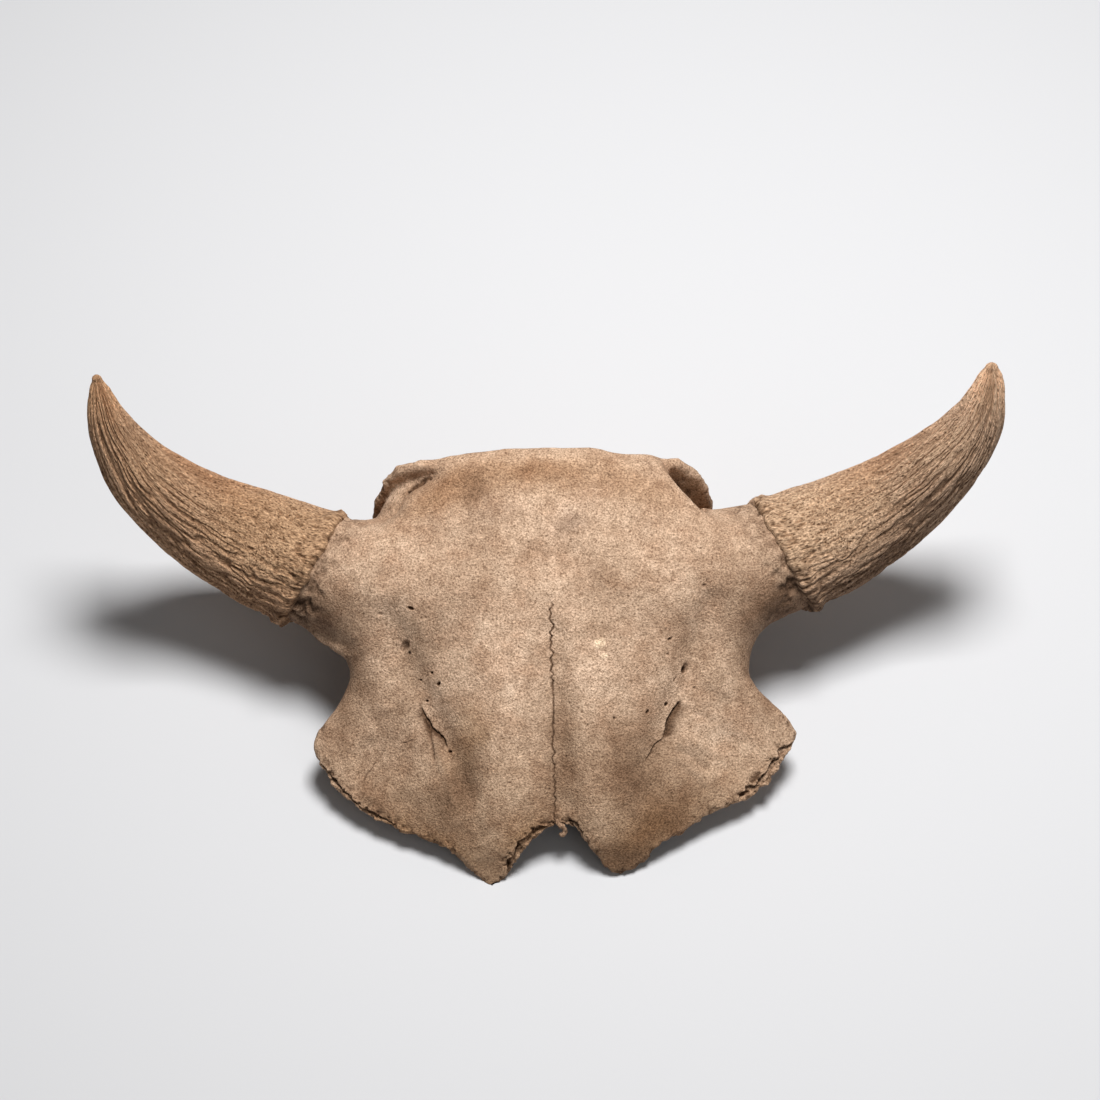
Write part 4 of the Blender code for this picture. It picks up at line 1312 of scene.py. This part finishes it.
RIGHT_CORE = HornCore(
    "horn_core_right", rows=(
        (0.158, -0.0765, -0.052, 0.0430), (0.205, -0.059, -0.055, 0.0405),
        (0.246, -0.037, -0.040, 0.0334), (0.276, -0.014, -0.010, 0.0258),
        (0.293, 0.007, 0.009, 0.0192), (0.2985, 0.023, 0.0235, 0.0128),
        (0.3000, 0.0335, 0.033, 0.0088), (0.3001, 0.0390, 0.0383, 0.0044),
    ),
    mirror=False, seed=101, lean_across=0.0058, lean_both=0.0058,
    # The front side's colour below is painted shade, much darker on this core.
    whole_kept=(0.99, 0.99, 1.02), front_shade_kept=(0.44, 0.41, 0.38), tip_kept=(1.85, 1.85, 1.80),
)
LEFT_CORE = HornCore(
    "horn_core_left", rows=(
        (0.158, -0.0765, -0.052, 0.0430), (0.203, -0.057, -0.055, 0.0403),
        (0.243, -0.036, -0.042, 0.0337), (0.272, -0.013, -0.010, 0.0265),
        (0.287, 0.008, 0.008, 0.0198), (0.2945, 0.0265, 0.0230, 0.0138),
        (0.2966, 0.0420, 0.0360, 0.0080), (0.2973, 0.0500, 0.0426, 0.0034),
    ),
    mirror=True, seed=201, lean_across=0.0075, lean_both=0.0065,
    whole_kept=(0.84, 0.78, 0.73), front_shade_kept=(0.96, 0.93, 0.90), tip_kept=(1.48, 1.42, 1.32),
)


# The splinter


@dataclass(frozen=True)
class Splinter:
    """A small hooked chip of bone that hangs into the notch where the seam ends.

    Rows are x, y, z and radius in the skull's axes.
    """

    rows: Rows = (
        (-0.0004, -0.2505, -0.0175, 0.0015), (0.0010, -0.2552, -0.0180, 0.0019),
        (0.0042, -0.2578, -0.0190, 0.0016), (0.0056, -0.2606, -0.0205, 0.0017),
        (0.0034, -0.2632, -0.0215, 0.0014), (0.0016, -0.2620, -0.0218, 0.0008),
    )
    rings: int = 60
    spokes: int = 28
    uneven: float = 0.30
    lump_size: float = 0.0020
    kept: Colour = (0.74, 0.7104, 0.6808)

    def build(self) -> Object:
        """Makes the piece: uneven rings along the path, closed by a pole at each end.

        Returns:
            The finished object in the row's axes.
        """
        row = smooth_path(self.rows, self.rings)
        tangent = np.gradient(row[:, :3], axis=0)
        tangent /= np.linalg.norm(tangent, axis=1)[:, None]
        out = directions_round(tangent, np.cross(tangent, [0.0, 0.0, 1.0]), self.spokes)
        centre = np.repeat(row[:, :3], self.spokes, axis=0)
        radius = np.repeat(row[:, 3], self.spokes)
        swell = 1 + self.uneven * layered_noise(centre + radius[:, None] * out, self.lump_size, 71)
        rings = centre + (radius * swell)[:, None] * out
        points = LIE.to_floor(np.vstack([rings, row[0, :3], row[-1, :3]]))
        thing = mesh_object("splinter", points, ring_faces(self.rings, self.spokes))
        store(thing.data, "tint", "FLOAT_COLOR", np.tile(self.kept, (len(points), 1)))
        return thing


# Finishes


@dataclass(frozen=True)
class BoneFinish:
    """Dry, matt bone: grain of two sizes and dark pores over slow changes of tone."""

    name: str
    pale: Colour
    deep: Colour
    grain_size: float = 0.0013
    blotch_size: float = 0.0065
    patch_size: float = 0.022
    pore_size: float = 0.0030
    pore_share: float = 0.06
    pore_kept: Colour = (0.62, 0.58, 0.54)
    bump_depth: float = 0.0013
    mottle: float = 1.0
    contrast: float = 1.0
    blotch_tones: tuple[Colour, Colour] = ((0.84, 0.81, 0.78), (1.12, 1.12, 1.12))
    grain_tones: tuple[Colour, ...] = (
        (0.30, 0.25, 0.21), (0.52, 0.47, 0.43), (1.40, 1.42, 1.45), (2.0, 2.0, 1.9),
    )
    drawn_out: float = 0.42
    roughness: float = 0.88
    specular: float = 0.22
    along: bool = False

    def material(self) -> bpy.types.Material:
        """Builds the material from nodes.

        Returns:
            The material, which reads the piece's own tint and either object or flow coordinates.
        """
        material = bpy.data.materials.new(self.name)
        material.use_nodes = True
        tree = material.node_tree
        shader = tree.nodes["Principled BSDF"]
        shader.inputs["Roughness"].default_value = self.roughness
        shader.inputs["Metallic"].default_value = 0.0
        shader.inputs["Specular IOR Level"].default_value = self.specular
        source = self.coordinates(tree)
        patch = self.noise(tree, source, self.patch_size, 4.0, 0.6)
        blotch = self.noise(tree, source, self.blotch_size, 3.0, 0.6)
        grain = self.noise(tree, source, self.grain_size, 3.0, 0.65)
        pores = self.pores(tree, source)
        low, high = (self.spread(tone, self.mottle) for tone in self.blotch_tones)
        hole, dark, light, speck = (self.spread(tone, self.contrast) for tone in self.grain_tones)
        plain = (0.98, 0.98, 0.98)
        base = self.ramp(tree, patch, ((0.34, self.deep), (0.60, self.pale)))
        blotch_tone = self.ramp(tree, blotch, ((0.34, low), (0.66, high)))
        grain_tone = self.ramp(
            tree, grain, ((0.25, hole), (0.34, dark), (0.50, plain), (0.65, light), (0.75, speck))
        )
        pore_tone = self.ramp(tree, pores, ((0.16, self.pore_kept), (0.34, (1.0, 1.0, 1.0))))
        colour = self.times(tree, base, blotch_tone)
        colour = self.times(tree, colour, grain_tone)
        colour = self.times(tree, colour, pore_tone)
        tint = tree.nodes.new("ShaderNodeAttribute")
        tint.attribute_name = "tint"
        colour = self.times(tree, colour, tint.outputs["Color"])
        tree.links.new(colour, shader.inputs["Base Color"])
        tree.links.new(self.bump(tree, grain, pores), shader.inputs["Normal"])
        return material

    def spread(self, colour: Colour, power: float) -> Colour:
        """A factor on the tone, made stronger or weaker by a power."""
        return tuple(value**power for value in colour)

    def coordinates(self, tree: Tree) -> Socket:
        """Object coordinates, or the piece's flow drawn out along the horn."""
        if not self.along:
            return tree.nodes.new("ShaderNodeTexCoord").outputs["Object"]
        flow = tree.nodes.new("ShaderNodeAttribute")
        flow.attribute_name = "flow"
        stretch = tree.nodes.new("ShaderNodeMapping")
        stretch.inputs["Scale"].default_value = (1.0, 1.0, self.drawn_out)
        tree.links.new(flow.outputs["Vector"], stretch.inputs["Vector"])
        return stretch.outputs["Vector"]

    def noise(self, tree: Tree, source: Socket, size: float, detail: float, rough: float) -> Socket:
        """A noise whose features have this size, in metres."""
        node = tree.nodes.new("ShaderNodeTexNoise")
        node.inputs["Scale"].default_value = 1.0 / size
        node.inputs["Detail"].default_value = detail
        node.inputs["Roughness"].default_value = rough
        tree.links.new(source, node.inputs["Vector"])
        return node.outputs["Fac"]

    def pores(self, tree: Tree, source: Socket) -> Socket:
        """Distance to scattered points, small inside each pore; a share of the pores stays closed."""
        node = tree.nodes.new("ShaderNodeTexVoronoi")
        node.inputs["Scale"].default_value = 1.0 / self.pore_size
        tree.links.new(source, node.inputs["Vector"])
        kept = tree.nodes.new("ShaderNodeSeparateColor")
        tree.links.new(node.outputs["Color"], kept.inputs["Color"])
        closed = self.number(tree, "GREATER_THAN", kept.outputs["Red"], self.pore_share)
        filled = self.number(tree, "ADD", node.outputs["Distance"], closed)
        return self.number(tree, "MINIMUM", filled, 0.34)

    def number(self, tree: Tree, kind: str, one: Socket, other: Socket | float) -> Socket:
        """A sum or comparison of two numbers."""
        node = tree.nodes.new("ShaderNodeMath")
        node.operation = kind
        tree.links.new(one, node.inputs[0])
        if isinstance(other, float):
            node.inputs[1].default_value = other
        else:
            tree.links.new(other, node.inputs[1])
        return node.outputs["Value"]

    def ramp(self, tree: Tree, value: Socket, stops: tuple[tuple[float, Colour], ...]) -> Socket:
        """Colour by value, straight between the stops."""
        node = tree.nodes.new("ShaderNodeValToRGB")
        node.color_ramp.elements.remove(node.color_ramp.elements[1])
        for i, (place, colour) in enumerate(stops):
            stop = node.color_ramp.elements[0] if i == 0 else node.color_ramp.elements.new(place)
            stop.position = place
            stop.color = (*colour, 1.0)
        tree.links.new(value, node.inputs["Fac"])
        return node.outputs["Color"]

    def times(self, tree: Tree, one: Socket, other: Socket) -> Socket:
        """Product of two colours."""
        node = tree.nodes.new("ShaderNodeMix")
        node.data_type = "RGBA"
        node.blend_type = "MULTIPLY"
        node.inputs["Factor"].default_value = 1.0
        tree.links.new(one, node.inputs["A"])
        tree.links.new(other, node.inputs["B"])
        return node.outputs["Result"]

    def bump(self, tree: Tree, *heights: Socket) -> Socket:
        """Normals bent by the sum of the heights."""
        total = heights[0]
        for height in heights[1:]:
            total = self.number(tree, "ADD", total, height)
        node = tree.nodes.new("ShaderNodeBump")
        node.inputs["Strength"].default_value = 0.9
        node.inputs["Distance"].default_value = self.bump_depth
        tree.links.new(total, node.inputs["Height"])
        return node.outputs["Normal"]


CRANIUM_BONE = BoneFinish("weathered_bone", pale=(0.570, 0.398, 0.275), deep=(0.445, 0.285, 0.185))
CORE_BONE = BoneFinish(
    "horn_core_bone", pale=(0.56, 0.380, 0.250), deep=(0.48, 0.315, 0.200), grain_size=0.0010,
    pore_size=0.0016, pore_share=0.60, pore_kept=(0.40, 0.35, 0.31), bump_depth=0.0017, mottle=0.6,
    contrast=1.3, along=True,
)


# Studio


def stand(thing: Object, axes: Array, place: Array) -> None:
    """Puts a camera or lamp into the scene, turned to its right, up and back directions."""
    rows = np.column_stack([*axes, place]).tolist()
    thing.matrix_world = Matrix([*rows, [0.0, 0.0, 0.0, 1.0]])
    bpy.context.scene.collection.objects.link(thing)


@dataclass(frozen=True)
class Lamp:
    """A square soft light that faces the skull."""

    name: str
    place: Place
    side: float
    watts: float
    faces: Place = (0.0, 0.0, 0.1)

    def build(self) -> None:
        """Adds the light. Its back points away from the skull."""
        data = bpy.data.lights.new(self.name, "AREA")
        data.energy = self.watts
        data.size = self.side
        back = np.array(self.place) - np.array(self.faces)
        back /= np.linalg.norm(back)
        right = np.cross([0.0, 1.0, 0.2], back)
        right /= np.linalg.norm(right)
        axes = np.stack([right, np.cross(back, right), back])
        stand(bpy.data.objects.new(self.name, data), axes, self.place)


@dataclass(frozen=True)
class Studio:
    """Pale floor, soft lights and a camera that looks down on the forehead."""

    image_side: float = 1100.0
    metres_per_pixel: float = 0.00068
    camera_distance: float = 1.65
    camera_tilt: float = math.radians(5.0)
    camera_roll: float = math.radians(1.8)
    aimed_at: Span = (0.0012, -0.070)
    sensor: float = 36.0
    floor_side: float = 9.0
    floor_colour: Colour = (0.62, 0.62, 0.63)
    sky_strength: float = 0.10
    lamps: tuple[Lamp, ...] = (
        Lamp("key", (0.22, 0.42, 2.0), 0.60, 54.0), Lamp("fill", (0.9, -1.4, 1.5), 1.6, 4.0),
    )

    def camera(self) -> None:
        """Stands over the forehead, tilted towards the nose and rolled a little clockwise."""
        t, r = self.camera_tilt, self.camera_roll
        x, y = self.aimed_at
        place = np.array([x, y - self.camera_distance * math.sin(t), self.camera_distance * math.cos(t)])
        back = np.array([0.0, -math.sin(t), math.cos(t)])
        up = np.array([0.0, math.cos(t), math.sin(t)])
        right = np.array([1.0, 0.0, 0.0])
        right, up = right * math.cos(r) - up * math.sin(r), up * math.cos(r) + right * math.sin(r)
        data = bpy.data.cameras.new("camera")
        data.sensor_width = self.sensor
        data.lens = self.sensor * self.camera_distance / (self.image_side * self.metres_per_pixel)
        data.clip_start, data.clip_end = 0.05, 30.0
        camera = bpy.data.objects.new("camera", data)
        stand(camera, LIE.turn(np.stack([right, up, back])), LIE.to_floor(place))
        bpy.context.scene.camera = camera

    def floor(self) -> None:
        """A plain pale square under the skull."""
        half = self.floor_side / 2
        corners = half * np.array([(-1, -1, 0), (1, -1, 0), (1, 1, 0), (-1, 1, 0)])
        floor = mesh_object("floor", corners, [(0, 1, 2, 3)])
        material = bpy.data.materials.new("pale_floor")
        material.use_nodes = True
        shader = material.node_tree.nodes["Principled BSDF"]
        shader.inputs["Base Color"].default_value = (*self.floor_colour, 1.0)
        shader.inputs["Roughness"].default_value = 0.8
        floor.data.materials.append(material)

    def build(self) -> None:
        """Sets up camera, floor, sky and lights."""
        self.camera()
        self.floor()
        world = bpy.data.worlds.new("soft_sky")
        world.use_nodes = True
        sky = world.node_tree.nodes["Background"]
        sky.inputs["Color"].default_value = (1.0, 1.0, 1.0, 1.0)
        sky.inputs["Strength"].default_value = self.sky_strength
        bpy.context.scene.world = world
        for lamp in self.lamps:
            lamp.build()
        bpy.context.scene.view_settings.view_transform = "Standard"


# Making


def dress(piece: Object, finish: bpy.types.Material) -> None:
    """Gives a piece its finish and the body that it rides on, and hides the solid that it stands for."""
    piece.data.materials.append(finish)
    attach(piece, BODY)
    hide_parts(NODE)
    piece.data.calc_loop_triangles()
    LOG.info("%s: %d triangles", piece.name, len(piece.data.loop_triangles))


def main() -> None:
    """Builds the studio and the skull's pieces."""
    logging.basicConfig(level=logging.INFO, format="%(name)s %(message)s")
    Studio().build()
    bone, core = CRANIUM_BONE.material(), CORE_BONE.material()
    dress(Cranium().build(), bone)
    dress(Splinter().build(), bone)
    dress(RIGHT_CORE.build(), core)
    dress(LEFT_CORE.build(), core)


if __name__ == "__main__":
    main()
